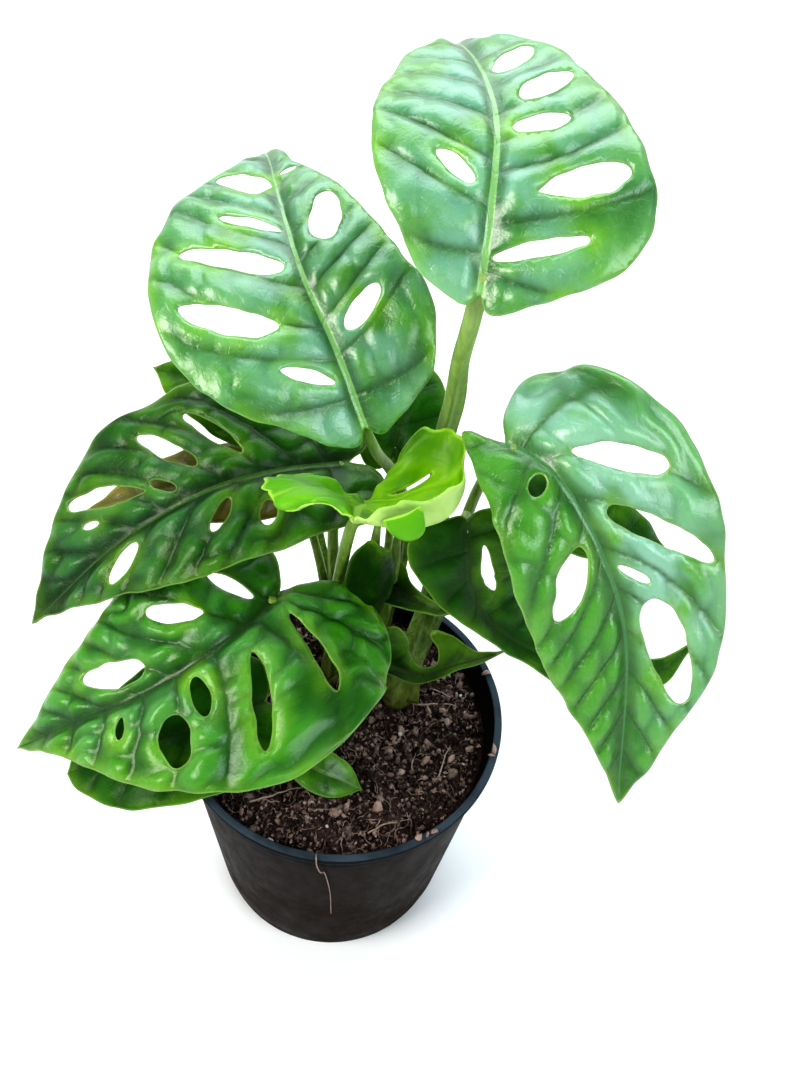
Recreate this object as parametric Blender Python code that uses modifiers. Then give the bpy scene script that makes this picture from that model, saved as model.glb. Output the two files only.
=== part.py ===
"""A young Monstera adansonii in its black plastic nursery pot.

The frame is metres with +Z up. The origin is the centre of the pot's flat base, and
-Y is the front. The tables below are in millimetres and degrees.

Each leaf is described flat first. Its rib runs from the stalk at u = 0 to the tip, and
v is the distance to the side of the rib, positive on the right when it is seen from
above with the tip ahead. The flat blade is cut out, holes included, and is then bent
over its rib: the rib is a space curve, and the two halves fold and curl to its sides.
"""

import math

import bpy
import bmesh
import numpy as np
from mathutils import Vector, noise
from mathutils.geometry import delaunay_2d_cdt

# Driving dimensions
MM = 0.001
GAP = 0.3
SEAT_GAP = 0.6

POT_HEIGHT = 110.0
POT_RIM_RADIUS = 60.0
POT_BASE_RADIUS = 46.0
POT_WALL = 1.2
POT_FLOOR = 1.6
POT_LIP_HEIGHT = 2.4
POT_COLLAR_HEIGHT = 10.0
POT_COLLAR_RADIUS = 58.4
POT_WALL_TOP_RADIUS = 56.9
POT_STEP_HEIGHT = 9.0
POT_STEP_DEPTH = 0.8
POT_SIDES = 48
DRAIN_COUNT = 6
DRAIN_RADIUS = 4.0
DRAIN_CIRCLE_RADIUS = 33.0

SOIL_LEVEL = 100.5
SOIL_EDGE_DROP = 2.2
SOIL_RELIEF = 1.4
SOIL_HUMP_SIZE = 17.0
SOIL_RINGS = 7
SOIL_SIDES = 32
STEM_DEPTH = 12.0
STEM_HOLE_SIDES = 14

BLADE = 0.8
BLADE_GRID = 11.5
BLADE_EDGE_STEP = 8.5
GRID_TO_EDGE = 0.42
GRID_TO_HOLE = 0.3
HOLE_CORNERS = 10
WAVE_LENGTH = 37.0
WAVE_WIDTH = 35.0

STALK_SECTIONS = 11
STALK_SEAT_ALONG = 2.6
STALK_SEAT_RUN = 4.0
FOOT_RISE = 10.0
FOOT_TAPER = 0.8

# Colours, as linear RGB
POT_BLACK = (0.012, 0.013, 0.016)
SOIL_BROWN = (0.055, 0.026, 0.016)
LEAF_GREEN = (0.035, 0.19, 0.02)
DARK_GREEN = (0.012, 0.075, 0.012)
YOUNG_GREEN = (0.24, 0.48, 0.012)
AGEING_YELLOW = (0.19, 0.17, 0.02)
STALK_GREEN = (0.11, 0.21, 0.022)


def plain_sides(length, left, right, lobe):
    """A heart-shaped blade from its length, its two half widths and its base lobes."""
    shape = (
        (0.13, 0.90),
        (0.30, 1.00),
        (0.48, 0.95),
        (0.66, 0.76),
        (0.82, 0.45),
        (0.92, 0.18),
    )
    sides = []
    for width in (left, right):
        side = [(0, 0), (-lobe, 0.22 * width), (-0.8 * lobe, 0.58 * width)]
        side += [(along * length, share * width) for along, share in shape]
        sides.append(side + [(length, 0)])
    return sides


# Leaves: the rib's points, the upward direction at its base and tip, the fold of the
# halves in degrees and their curl in degrees a centimetre, both at base and tip, the
# outline of each half as (u, v), and the holes, each from its inner end to its outer
# end with its width and, where it isn't 0.5, the place along it where it is widest.
LEAVES = {
    "leaf_top_right": dict(
        rib=[(27, 10, 298), (27, 26, 315), (26, 47, 324), (21, 68, 326), (14, 92, 321), (9, 111, 309)],
        up=[(0, -0.4, 1), (0, -0.3, 1)],
        fold=(10, 0),
        curl=(-3, -4.5),
        wave=1.0,
        left=[(0, 0), (-3, 5), (3, 15), (14, 23), (28, 30), (43, 32), (58, 30), (74, 24), (90, 15), (104, 5)],
        right=[(0, 0), (-5, 3), (-4, 9), (1, 20), (6, 30), (13, 37), (22, 41), (33, 40), (47, 34),
               (61, 28), (76, 23), (92, 15), (104, 6)],
        holes=[(27, -5, 35, -15, 5), (66, 3, 79, 16, 8), (54, 7, 63, 23, 7), (44, 4, 47, 19, 5.5),
               (26, 11, 34, 34, 8, 0.6), (9, 2, 16, 25, 4)],
    ),
    "leaf_top_left": dict(
        rib=[(0, 20, 236), (-11, 33, 254), (-24, 51, 266), (-35, 78, 271), (-44, 109, 266), (-48, 122, 260)],
        up=[(0, -0.5, 1), (-0.1, -0.4, 1)],
        fold=(12, 4),
        curl=(-3.5, -3.5),
        wave=1.0,
        left=[(0, 0), (-4, 4), (-1, 12), (6, 20), (15, 31), (26, 40), (40, 45), (56, 45), (72, 42),
              (86, 34), (98, 26), (110, 15), (121, 6)],
        right=[(0, 0), (-3, 5), (1, 13), (8, 23), (18, 29), (31, 32), (45, 29), (60, 26), (74, 21),
               (88, 15), (104, 8), (118, 4)],
        holes=[(88, -3, 107, -20, 12, 0.4), (67, -2, 78, -19, 4), (53, -5, 68, -34, 7, 0.4),
               (37, -13, 50, -38, 7, 0.45), (16, -4, 25, -18, 4), (96, 2, 100, 8, 3.5),
               (59, 9, 78, 15, 10), (29, 5, 37, 19, 6)],
    ),
    "leaf_right": dict(
        rib=[(41, 17, 241), (55, 4, 244), (72, -10, 228), (85, -24, 202), (91, -52, 160)],
        up=[(0, -0.6, 1), (0.1, -0.8, 0.6)],
        fold=(8, 10),
        curl=(-4.5, -3.5),
        wave=1.2,
        left=[(0, 0), (-6, 8), (-8, 18), (-3, 26), (8, 31), (20, 36), (34, 39), (48, 37), (64, 33),
              (78, 29), (92, 23), (106, 15), (119, 8)],
        right=[(0, 0), (-7, 2), (-13, 5), (-3, 11), (8, 18), (22, 23), (40, 27), (60, 28), (80, 26),
               (96, 19), (112, 9), (122, 4)],
        holes=[(19, -8, 36, -29, 7, 0.6), (37, -7, 62, -30, 7, 0.4), (53, -3, 61, -10, 2.5),
               (66, -8, 100, -19, 12, 0.4), (18, 3, 22, 9, 5), (42, 5, 62, 19, 9)],
    ),
    "leaf_left_front": dict(
        rib=[(-24, 6, 168), (-38, -19, 172), (-62, -34, 160), (-85, -39, 145), (-105, -42, 128)],
        up=[(0, -0.3, 1), (-0.2, -0.3, 1)],
        fold=(6, 4),
        curl=(-3.5, -3.5),
        wave=1.3,
        left=[(0, 0), (-9, 3), (-17, 9), (-20, 18), (-18, 30), (-9, 42), (4, 48), (20, 50), (36, 48),
              (50, 41), (64, 31), (78, 20), (94, 10), (105, 4)],
        right=[(0, 0), (-9, 7), (-12, 15), (-9, 26), (0, 35), (14, 39), (30, 40), (46, 39), (62, 35),
               (78, 27), (90, 18), (102, 8)],
        holes=[(8, 5, 11, 22, 6), (27, 12, 47, 23, 7), (55, 7, 81, 12, 9), (5, -8, 19, -38, 5),
               (25, -9, 36, -37, 4), (42, -5, 44, -18, 5.5), (53, -12, 56, -28, 10), (68, -5, 70, -12, 3)],
    ),
    "leaf_left_back": dict(
        rib=[(-6, 48, 192), (-30, 32, 200), (-52, 20, 198), (-80, 7, 180), (-106, -7, 152)],
        up=[(0, -0.3, 1), (-0.2, -0.3, 1)],
        fold=(6, 4),
        curl=(-4.5, -3.5),
        wave=1.3,
        left=[(0, 0), (-8, 4), (-9, 12), (-2, 20), (10, 24), (26, 27), (42, 29), (60, 28), (80, 23),
              (100, 15), (118, 6)],
        right=[(0, 0), (-8, 5), (-9, 14), (0, 22), (14, 28), (30, 36), (47, 42), (64, 42), (80, 40),
               (94, 34), (106, 23), (118, 13)],
        holes=[(53, 10, 68, 31, 6), (38, 9, 51, 30, 5), (72, 10, 99, 24, 7, 0.6), (62, 5, 69, 12, 3.5),
               (91, 10, 97, 13, 2.5), (81, -5, 97, -11, 6), (47, -6, 56, -15, 5), (35, -11, 39, -19, 5)],
    ),
    "leaf_right_shaded": dict(
        rib=[(35, 17, 203), (37, 13, 192), (40, 11, 176), (49, 11, 160), (65, 12, 146), (92, 12, 134),
             (116, 22, 130), (128, 32, 136)],
        up=[(0.1, -0.5, 1), (0.2, -0.5, 0.8)],
        fold=(4, 4),
        curl=(-2.5, -2.5),
        wave=0.6,
        left=[(0, 0), (-4, 4), (-3, 12), (6, 20), (20, 24), (36, 21), (50, 15), (64, 10), (80, 8),
              (100, 7), (116, 5), (130, 3)],
        right=[(0, 0), (-3, 3), (-2, 12), (3, 20), (12, 20), (22, 15), (34, 9), (48, 6), (64, 6),
               (80, 7), (100, 9), (116, 7), (130, 3)],
        holes=[(9, -5, 37, -8, 4)],
    ),
    "leaf_right_low": dict(
        rib=[(48, 40, 196), (68, 40, 190), (92, 44, 178), (114, 50, 160)],
        up=[(0, -0.4, 1), (0.2, -0.4, 1)],
        fold=(4, 4),
        curl=(-3.5, -3.5),
        wave=1.0,
        plain=(78, 13, 15, 5),
        holes=[],
    ),
    "leaf_centre_dark": dict(
        rib=[(6, 24, 161), (11, 22, 161), (17, 19, 160), (27, 15, 159), (35, 12, 161)],
        up=[(0, -0.5, 1), (0, -0.5, 1)],
        fold=(10, 6),
        curl=(-2.5, -2.5),
        wave=0.5,
        left=[(0, 0), (-4, 3), (-6, 7), (-4, 11), (4, 10), (12, 6), (20, 3), (27, 2)],
        right=[(0, 0), (-6, 1), (-9, 4), (-5, 8), (0, 10), (8, 7), (15, 5), (22, 3), (28, 2)],
        holes=[],
    ),
    "leaf_over_soil": dict(
        rib=[(9, 2, 146), (17, 3, 137), (29, 5, 132), (39, 9, 134), (50, 15, 133), (58, 21, 130)],
        up=[(0, -0.9, 0.5), (0, -0.9, 0.5)],
        fold=(4, 4),
        curl=(-2.5, -2.5),
        wave=0.3,
        edge=5,
        left=[(0, 0), (-4, 5), (-6, 11), (-2, 14), (8, 11), (15, 8), (22, 3), (26, 2.5), (31, 3), (33, 8),
              (32, 14), (34, 16), (37, 12), (42, 6), (49, 2)],
        right=[(0, 0), (-2, 3), (4, 5), (12, 3), (20, 4), (28, 3), (38, 2), (48, 2)],
        holes=[],
    ),
    "leaf_low_front": dict(
        rib=[(-12, -26, 117), (-4, -31, 119), (4, -32, 116), (12, -32, 110)],
        up=[(0, -0.3, 1), (0, -0.3, 1)],
        fold=(3, 3),
        curl=(-3.5, -3.5),
        wave=0.4,
        plain=(27, 8, 8, 2),
        holes=[],
    ),
    "leaf_low_left": dict(
        rib=[(-27, -8, 122), (-44, -20, 124), (-66, -31, 121), (-92, -38, 107)],
        up=[(0, -0.3, 1), (-0.2, -0.3, 1)],
        fold=(4, 4),
        curl=(-3.5, -3.5),
        wave=0.8,
        left=[(0, 0), (-4, 5), (-4, 13), (4, 20), (18, 25), (34, 25), (50, 22), (62, 16), (72, 8)],
        right=[(0, 0), (-4, 6), (-4, 16), (8, 25), (24, 28), (42, 26), (58, 18), (70, 8)],
        holes=[(22, -6, 30, -15, 5)],
    ),
    "leaf_ageing": dict(
        rib=[(-24, 57, 166), (-46, 51, 172), (-72, 47, 167), (-102, 45, 152)],
        up=[(0, -0.3, 1), (-0.2, -0.3, 1)],
        fold=(4, 4),
        curl=(-3.5, -3.5),
        wave=1.0,
        plain=(82, 16, 15, 5),
        holes=[],
    ),
    "leaf_back_left": dict(
        rib=[(-36, 66, 181), (-50, 71, 189), (-67, 77, 193), (-84, 86, 189)],
        up=[(0, -0.3, 1), (-0.2, -0.3, 1)],
        fold=(6, 4),
        curl=(-3.5, -3.5),
        wave=0.6,
        plain=(54, 14, 16, 4),
        holes=[],
    ),
    "leaf_back": dict(
        rib=[(8, 66, 178), (9, 78, 189), (11, 90, 195), (12, 103, 195)],
        up=[(0, -0.5, 1), (0, -0.4, 1)],
        fold=(8, 4),
        curl=(-3.5, -3.5),
        wave=0.6,
        plain=(44, 17, 17, 5),
        holes=[],
    ),
}

# The young leaf is still unrolling, so it is given as rows of points from its base to
# its tip, each row from the outer left margin over the rib to the outer right margin.
YOUNG_ROWS = [
    [(-19, 17, 220), (-11, 16, 216), (-3, 15, 211), (2, 15, 210), (6, 18, 212), (9, 22, 217), (11, 26, 225)],
    [(-26, 8, 225), (-14, 10, 220), (-4, 11, 215), (2, 11, 213), (7, 15, 215), (13, 22, 221), (17, 30, 230)],
    [(-28, 0, 228), (-15, 3, 227), (-4, 5, 222), (2, 6, 218), (13, 10, 217), (24, 19, 222), (27, 29, 231)],
    [(-24, -5, 228), (-13, -4, 232), (-4, -2, 228), (1, -2, 225), (16, 0, 221), (29, 8, 224), (32, 19, 232)],
    [(-19, -10, 229), (-11, -10, 236), (-3, -9, 233), (1, -9, 230), (14, -11, 228), (27, -6, 231), (28, 1, 238)],
    [(-12, -11, 238), (-5, -13, 237), (-1, -15, 236), (1, -16, 235), (5, -15, 238), (13, -12, 242), (22, -8, 243)],
]
YOUNG_CELL = 9.0
YOUNG_HOLES = [(15, -4, 25, -13, 2), (14, 5, 27, 12, 2)]

# Blades that bend sharply over their stalk sit a little higher above it.
SEAT_GAPS = {"leaf_right": 1.1, "leaf_low_front": 0.8, "leaf_back": 0.7}

# Stalks: each leafy stem stands straight in the soil at its foot and carries stalks,
# each a route of points that ends under its leaf, with its radius at foot and top.
SHOOTS = {
    "shoot_right": dict(
        foot=(20, 13),
        radius=4.2,
        stalks={
            "leaf_top_right": ([(20, 13, 106), (23, 19, 126), (27, 32, 140), (28, 39, 158), (26, 41, 180),
                                (24, 40, 202), (24, 36, 226), (25, 30, 243), (25, 22, 265), (26, 15, 284)], 3.6, 2.4),
            "leaf_right": ([(21, 14, 106), (25, 25, 128), (33, 39, 160), (38, 39, 195), (42, 27, 221)], 2.4, 1.6),
            "leaf_right_shaded": ([(22, 14, 106), (29, 26, 132), (34, 34, 165), (35, 31, 190)], 2.2, 1.4),
            "leaf_right_low": ([(22, 15, 106), (32, 33, 135), (42, 44, 170)], 2.2, 1.4),
        },
    ),
    "shoot_young": dict(
        foot=(-6, 20),
        radius=3.6,
        stalks={
            "leaf_young": ([(-6, 20, 106), (-6, 21, 140), (-5, 20, 166), (-3, 15, 189), (-1, 12, 202)], 2.8, 1.8),
            "leaf_centre_dark": ([(-5, 22, 106), (-3, 28, 130), (2, 30, 148)], 1.9, 1.2),
            "leaf_over_soil": ([(-5, 19, 106), (-1, 14, 122), (5, 10, 136)], 1.9, 1.2),
        },
    ),
    "shoot_back": dict(
        foot=(10, 40),
        radius=3.6,
        stalks={
            "leaf_top_left": ([(10, 40, 106), (14, 46, 135), (15, 49, 160), (12, 47, 182), (8, 41, 198),
                               (4, 34, 211), (2, 27, 223)], 2.6, 1.7),
            "leaf_back": ([(10, 41, 106), (10, 53, 138), (9, 61, 160)], 2.0, 1.2),
        },
    ),
    "shoot_left": dict(
        foot=(-8, 34),
        radius=4.4,
        stalks={
            "leaf_left_back": ([(-8, 35, 106), (-9, 42, 130), (-11, 48, 160), (-9, 50, 180)], 2.6, 1.6),
            "leaf_left_front": ([(-9, 32, 106), (-14, 24, 130), (-20, 13, 151)], 2.4, 1.7),
            "leaf_ageing": ([(-9, 36, 106), (-14, 45, 132), (-21, 52, 154)], 2.0, 1.4),
            "leaf_back_left": ([(-9, 36, 106), (-14, 52, 130), (-22, 68, 150), (-30, 71, 167)], 2.0, 1.2),
        },
    ),
    "shoot_front": dict(
        foot=(-15, -13),
        radius=2.6,
        stalks={
            "leaf_low_front": ([(-15, -13, 105), (-14, -20, 110)], 1.4, 0.9),
            "leaf_low_left": ([(-16, -12, 105), (-21, -9, 113)], 1.6, 1.3),
        },
    ),
}


def unit(vectors):
    """The same vectors at length 1."""
    vectors = np.asarray(vectors, float)
    return vectors / np.linalg.norm(vectors, axis=-1, keepdims=True)


def spline(points, places):
    """A smooth curve through the points, read at places counted in points."""
    points = np.asarray(points, float)
    last = len(points) - 1
    first_end = 2 * points[0] - points[1]
    last_end = 2 * points[-1] - points[-2]
    points = np.vstack([first_end, points, last_end])
    places = np.clip(np.asarray(places, float), 0, last)
    start = np.minimum(places.astype(int), last - 1)
    share = (places - start)[..., None]
    a, b, c, d = (points[start + step] for step in range(4))
    cubic = -a + 3 * b - 3 * c + d
    square = 2 * a - 5 * b + 4 * c - d
    return 0.5 * (2 * b + (c - a) * share + square * share**2 + cubic * share**3)


def resampled(points, step, per_span=12):
    """Points about one step apart along the smooth curve through the given points."""
    fine = spline(points, np.linspace(0, len(points) - 1, per_span * len(points)))
    along = np.r_[0, np.cumsum(np.linalg.norm(np.diff(fine, axis=0), axis=1))]
    count = max(3, int(round(along[-1] / step)) + 1)
    wanted = np.linspace(0, along[-1], count)
    return np.stack([np.interp(wanted, along, fine[:, axis]) for axis in range(fine.shape[1])], -1)


class Blade:
    """A leaf's surface: it bends flat points (u, v) over the rib."""

    def __init__(self, leaf):
        rib = leaf["rib"]
        self.curve = spline(rib, np.linspace(0, len(rib) - 1, 200))
        steps = np.linalg.norm(np.diff(self.curve, axis=0), axis=1)
        self.along = np.r_[0, np.cumsum(steps)]
        self.length = self.along[-1]
        self.up = [unit(direction) for direction in leaf["up"]]
        self.fold = np.radians(leaf["fold"])
        self.curl = np.radians(leaf["curl"]) / 10
        self.wave = leaf["wave"]

    def rib_at(self, along):
        along = np.clip(along, 0, self.length)
        return np.stack([np.interp(along, self.along, self.curve[:, axis]) for axis in range(3)], -1)

    def frame(self, u):
        """The rib's point, its direction, the way to the right and the way up."""
        near = np.clip(u, 0, self.length)
        ahead = unit(self.rib_at(near + 0.5) - self.rib_at(near - 0.5))
        share = (near / self.length)[..., None]
        up = unit(self.up[0] * (1 - share) + self.up[1] * share)
        side = unit(np.cross(ahead, up))
        normal = np.cross(side, ahead)
        point = self.rib_at(near) + ahead * (u - near)[..., None]
        return point, ahead, side, normal

    def __call__(self, flat):
        u, v = np.asarray(flat, float).T
        point, _, side, normal = self.frame(u)
        share = np.clip(u / self.length, 0, 1)
        fold = self.fold[0] * (1 - share) + self.fold[1] * share
        curl = self.curl[0] * (1 - share) + self.curl[1] * share
        out = np.abs(v)
        across = (np.sin(fold + curl * out) - np.sin(fold)) / curl
        lift = (np.cos(fold) - np.cos(fold + curl * out)) / curl
        lift = lift + self.wave * np.sin(math.tau * u / WAVE_LENGTH + np.sign(v)) * (out / WAVE_WIDTH) ** 2
        return point + side * (across * np.sign(v))[..., None] + normal * lift[..., None]


class YoungBlade:
    """The young leaf's surface, read from its rows of points."""

    def __init__(self):
        self.rows = np.array(YOUNG_ROWS, float)
        self.length = (len(YOUNG_ROWS) - 1) * YOUNG_CELL
        self.width = (len(YOUNG_ROWS[0]) - 1) / 2 * YOUNG_CELL

    def __call__(self, flat):
        found = []
        for u, v in np.asarray(flat, float):
            across = (self.width - v) / YOUNG_CELL
            line = [spline(row, across) for row in self.rows]
            found.append(spline(line, u / YOUNG_CELL))
        return np.array(found)


def hole_outline(hole):
    """A closed, leaf-shaped hole from its inner end to its outer end."""
    start = np.array(hole[0:2], float)
    end = np.array(hole[2:4], float)
    half_width = hole[4] / 2
    widest = hole[5] if len(hole) > 5 else 0.5
    bend = math.log(0.5) / math.log(widest)
    across = unit([start[1] - end[1], end[0] - start[0]])
    outline = []
    for corner in range(HOLE_CORNERS):
        angle = math.tau * corner / HOLE_CORNERS
        along = (1 - math.cos(angle)) / 2
        outline.append(start + (end - start) * along ** (1 / bend) + across * half_width * math.sin(angle))
    return np.array(outline)


def inside(points, outline):
    """Which of the flat points lie within the closed outline."""
    x, y = np.asarray(points, float).T
    found = np.zeros(len(x), bool)
    for (x0, y0), (x1, y1) in zip(outline, np.roll(outline, -1, axis=0)):
        crosses = (y0 > y) != (y1 > y)
        if y0 != y1:
            found ^= crosses & (x < x0 + (y - y0) * (x1 - x0) / (y1 - y0))
    return found


def distance_to(points, outline):
    """How far each flat point is from the closed outline."""
    nearest = np.full(len(points), np.inf)
    for start, end in zip(outline, np.roll(outline, -1, axis=0)):
        run = end - start
        share = np.clip((points - start) @ run / (run @ run), 0, 1)
        away = np.linalg.norm(points - start - share[:, None] * run, axis=1)
        nearest = np.minimum(nearest, away)
    return nearest


def leaf_outline(leaf, length):
    """The flat outline, from the stalk up the right half and back down the left one."""
    step = leaf.get("edge", BLADE_EDGE_STEP)
    if "plain" in leaf:
        left, right = plain_sides(*leaf["plain"])
    else:
        left, right = leaf["left"], leaf["right"]
    scale = length / leaf["plain"][0] if "plain" in leaf else 1.0
    tip = (length, 0)
    right = [(u * scale, v) for u, v in right if u * scale < length - 1] + [tip]
    left = [(u * scale, -v) for u, v in left if u * scale < length - 1] + [tip]
    forward = resampled(right, step)
    back = resampled(left, step)
    return np.vstack([forward, back[-2:0:-1]])


def flat_blade(outline, holes, grid):
    """Flat points and triangles of a blade, with its holes left open."""
    low = outline.min(axis=0)
    high = outline.max(axis=0)
    row_step = grid * math.sqrt(3) / 2
    spots = []
    rows = int(max(-low[1], high[1]) / row_step) + 1
    for row in range(-rows, rows + 1):
        shift = grid / 2 if row % 2 else 0
        for u in np.arange(low[0] + shift, high[0], grid):
            spots.append((u, row * row_step))
    spots = np.array(spots)
    keep = inside(spots, outline) & (distance_to(spots, outline) > GRID_TO_EDGE * grid)
    for hole in holes:
        keep &= ~inside(spots, hole) & (distance_to(spots, hole) > GRID_TO_HOLE * grid)
    points = [Vector(point) for loop in [outline, *holes] for point in loop]
    points += [Vector(point) for point in spots[keep]]
    edges = []
    first = 0
    for loop in [outline, *holes]:
        edges += [(first + i, first + (i + 1) % len(loop)) for i in range(len(loop))]
        first += len(loop)
    points, _, faces, *_ = delaunay_2d_cdt(points, edges, [], 0, 1e-5)
    points = np.array([tuple(point) for point in points])
    faces = np.array([tuple(face) for face in faces])
    centres = points[faces].mean(axis=1)
    wanted = inside(centres, outline)
    for hole in holes:
        wanted &= ~inside(centres, hole)
    return points, faces[wanted]


def material(name, colour, roughness):
    made = bpy.data.materials.new(name)
    made.use_nodes = True
    shader = made.node_tree.nodes["Principled BSDF"]
    shader.inputs["Base Color"].default_value = (*colour, 1)
    shader.inputs["Roughness"].default_value = roughness
    shader.inputs["Metallic"].default_value = 0.0
    return made


def add_object(name, mesh, collection, look=None):
    made = bpy.data.objects.new(name, mesh)
    collection.objects.link(made)
    if look:
        mesh.materials.append(look)
    return made


def mesh_from(name, points, faces):
    mesh = bpy.data.meshes.new(name)
    mesh.from_pydata([tuple(point) for point in points], [], [tuple(face) for face in faces])
    mesh.update()
    return mesh


def make_blade(name, surface, outline, holes, grid, look, collection):
    """One leaf: the flat blade bent into place and given its thickness."""
    points, faces = flat_blade(outline, holes, grid)
    mesh = mesh_from(name, surface(points) * MM, faces)
    mesh.shade_smooth()
    made = add_object(name, mesh, collection, look)
    thick = made.modifiers.new("thickness", "SOLIDIFY")
    thick.thickness = BLADE * MM
    thick.offset = 0
    thick.use_even_offset = True
    return made


def make_leaves(collection, looks):
    surfaces = {}
    for name, leaf in LEAVES.items():
        surface = Blade(leaf)
        outline = leaf_outline(leaf, surface.length)
        holes = [hole_outline(hole) for hole in leaf["holes"]]
        look = looks.get(name, looks["leaf"])
        make_blade(name, surface, outline, holes, BLADE_GRID, look, collection)
        surfaces[name] = surface
    return surfaces


def make_young_leaf(collection, look):
    surface = YoungBlade()
    ends = [(0, -surface.width), (surface.length, -surface.width)]
    ends += [(surface.length, surface.width), (0, surface.width)]
    step = YOUNG_CELL / 2
    outline = []
    for start, end in zip(ends, ends[1:] + ends[:1]):
        run = np.array(end, float) - start
        count = int(round(np.linalg.norm(run) / step))
        outline += [np.array(start) + run * i / count for i in range(count)]
    holes = [hole_outline(hole) for hole in YOUNG_HOLES]
    make_blade("leaf_young", surface, np.array(outline), holes, step, look, collection)
    return surface


def seat_under(surface):
    """Where a stalk ends below a blade, and the direction that it arrives in."""
    along = STALK_SEAT_ALONG
    spots = np.array([(along, 0), (along + 1, 0), (along, 1), (along, -1)])
    centre, ahead, right, left = surface(spots)
    normal = unit(np.cross(right - left, ahead - centre))
    return centre, normal


def tube(name, points, radii, collection):
    """A round tube along the points, as a closed mesh."""
    curve = bpy.data.curves.new(name, "CURVE")
    curve.dimensions = "3D"
    curve.bevel_depth = MM
    curve.bevel_resolution = 1
    curve.use_fill_caps = True
    line = curve.splines.new("POLY")
    line.points.add(len(points) - 1)
    for spot, point, radius in zip(line.points, points, radii):
        spot.co = (*(point * MM), 1)
        spot.radius = radius
    guide = bpy.data.objects.new(name, curve)
    collection.objects.link(guide)
    bpy.context.view_layer.update()
    graph = bpy.context.evaluated_depsgraph_get()
    mesh = bpy.data.meshes.new_from_object(guide.evaluated_get(graph))
    bpy.data.objects.remove(guide)
    shape = bmesh.new()
    shape.from_mesh(mesh)
    bmesh.ops.remove_doubles(shape, verts=shape.verts, dist=1e-6)
    bmesh.ops.recalc_face_normals(shape, faces=shape.faces)
    shape.to_mesh(mesh)
    shape.free()
    return add_object(name, mesh, collection)


def stalk_points(route, surface, gap):
    """The stalk's centre line, which ends square to the blade with a small gap."""
    centre, normal = seat_under(surface)
    end = centre - normal * (BLADE / 2 + gap)
    bend = end - normal * STALK_SEAT_RUN
    return spline([*route, bend, end], np.linspace(0, len(route) + 1, STALK_SECTIONS))


def make_shoot(name, shoot, surfaces, look, collection, parts):
    """One leafy stem: its foot in the soil and all its stalks, joined in one solid."""
    x, y = shoot["foot"]
    heights = (SOIL_LEVEL - STEM_DEPTH, SOIL_LEVEL + FOOT_RISE / 2, SOIL_LEVEL + FOOT_RISE)
    foot = np.array([(x, y, height) for height in heights])
    radii = np.array([1, 1, FOOT_TAPER]) * shoot["radius"]
    tubes = [tube(name + "_foot", foot, radii, collection)]
    for leaf, (route, low_radius, high_radius) in shoot["stalks"].items():
        line = stalk_points(route, surfaces[leaf], SEAT_GAPS.get(leaf, SEAT_GAP))
        radii = np.linspace(low_radius, high_radius, len(line))
        tubes.append(tube(name + "_" + leaf, line, radii, collection))
    joined = tubes[0]
    for other in tubes[1:]:
        union = joined.modifiers.new("join", "BOOLEAN")
        union.operation = "UNION"
        union.object = other
        union.solver = "EXACT"
    bpy.context.view_layer.update()
    graph = bpy.context.evaluated_depsgraph_get()
    mesh = bpy.data.meshes.new_from_object(joined.evaluated_get(graph))
    for piece in tubes:
        bpy.data.objects.remove(piece)
    mesh.name = name
    mesh.materials.clear()
    made = add_object(name, mesh, parts, look)
    mesh.shade_smooth()
    return made


def pot_profile():
    """Half the pot's section, from the inner floor's centre over the lip to the base."""
    step_radius = POT_BASE_RADIUS + POT_STEP_DEPTH
    step_share = POT_STEP_HEIGHT / (POT_HEIGHT - POT_COLLAR_HEIGHT)
    step_radius += (POT_WALL_TOP_RADIUS - step_radius) * step_share
    collar_low = POT_HEIGHT - POT_COLLAR_HEIGHT
    return [
        (0.0, POT_FLOOR),
        (POT_BASE_RADIUS - POT_WALL, POT_FLOOR),
        (POT_WALL_TOP_RADIUS - POT_WALL, collar_low - 0.8),
        (POT_COLLAR_RADIUS - POT_WALL - 0.4, collar_low + 0.6),
        (POT_COLLAR_RADIUS - POT_WALL, POT_HEIGHT),
        (POT_RIM_RADIUS - 0.4, POT_HEIGHT),
        (POT_RIM_RADIUS, POT_HEIGHT - 0.5),
        (POT_RIM_RADIUS, POT_HEIGHT - POT_LIP_HEIGHT),
        (POT_COLLAR_RADIUS, POT_HEIGHT - POT_LIP_HEIGHT - 0.4),
        (POT_COLLAR_RADIUS - 0.4, collar_low),
        (POT_WALL_TOP_RADIUS, collar_low - 0.8),
        (step_radius, POT_STEP_HEIGHT),
        (step_radius - POT_STEP_DEPTH, POT_STEP_HEIGHT - 0.8),
        (POT_BASE_RADIUS + 0.3, 0.8),
        (POT_BASE_RADIUS - 0.4, 0.0),
        (0.0, 0.0),
    ]


def turned(name, outline, sides, collection, look):
    """An outline with both ends on the axis, turned about Z."""
    shape = bmesh.new()
    spots = [shape.verts.new((radius * MM, 0, height * MM)) for radius, height in outline]
    for start, end in zip(spots, spots[1:]):
        shape.edges.new((start, end))
    mesh = bpy.data.meshes.new(name)
    shape.to_mesh(mesh)
    shape.free()
    made = add_object(name, mesh, collection, look)
    screw = made.modifiers.new("turn", "SCREW")
    screw.steps = sides
    screw.render_steps = sides
    screw.use_merge_vertices = True
    screw.merge_threshold = 1e-6
    return made


def cylinder(name, place, radius, low, high, sides, collection):
    shape = bmesh.new()
    bmesh.ops.create_cone(
        shape,
        cap_ends=True,
        segments=sides,
        radius1=radius * MM,
        radius2=radius * MM,
        depth=(high - low) * MM,
    )
    mesh = bpy.data.meshes.new(name)
    shape.to_mesh(mesh)
    shape.free()
    made = add_object(name, mesh, collection)
    made.location = (place[0] * MM, place[1] * MM, (low + high) / 2 * MM)
    made.hide_render = True
    made.display_type = "WIRE"
    return made


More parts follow.
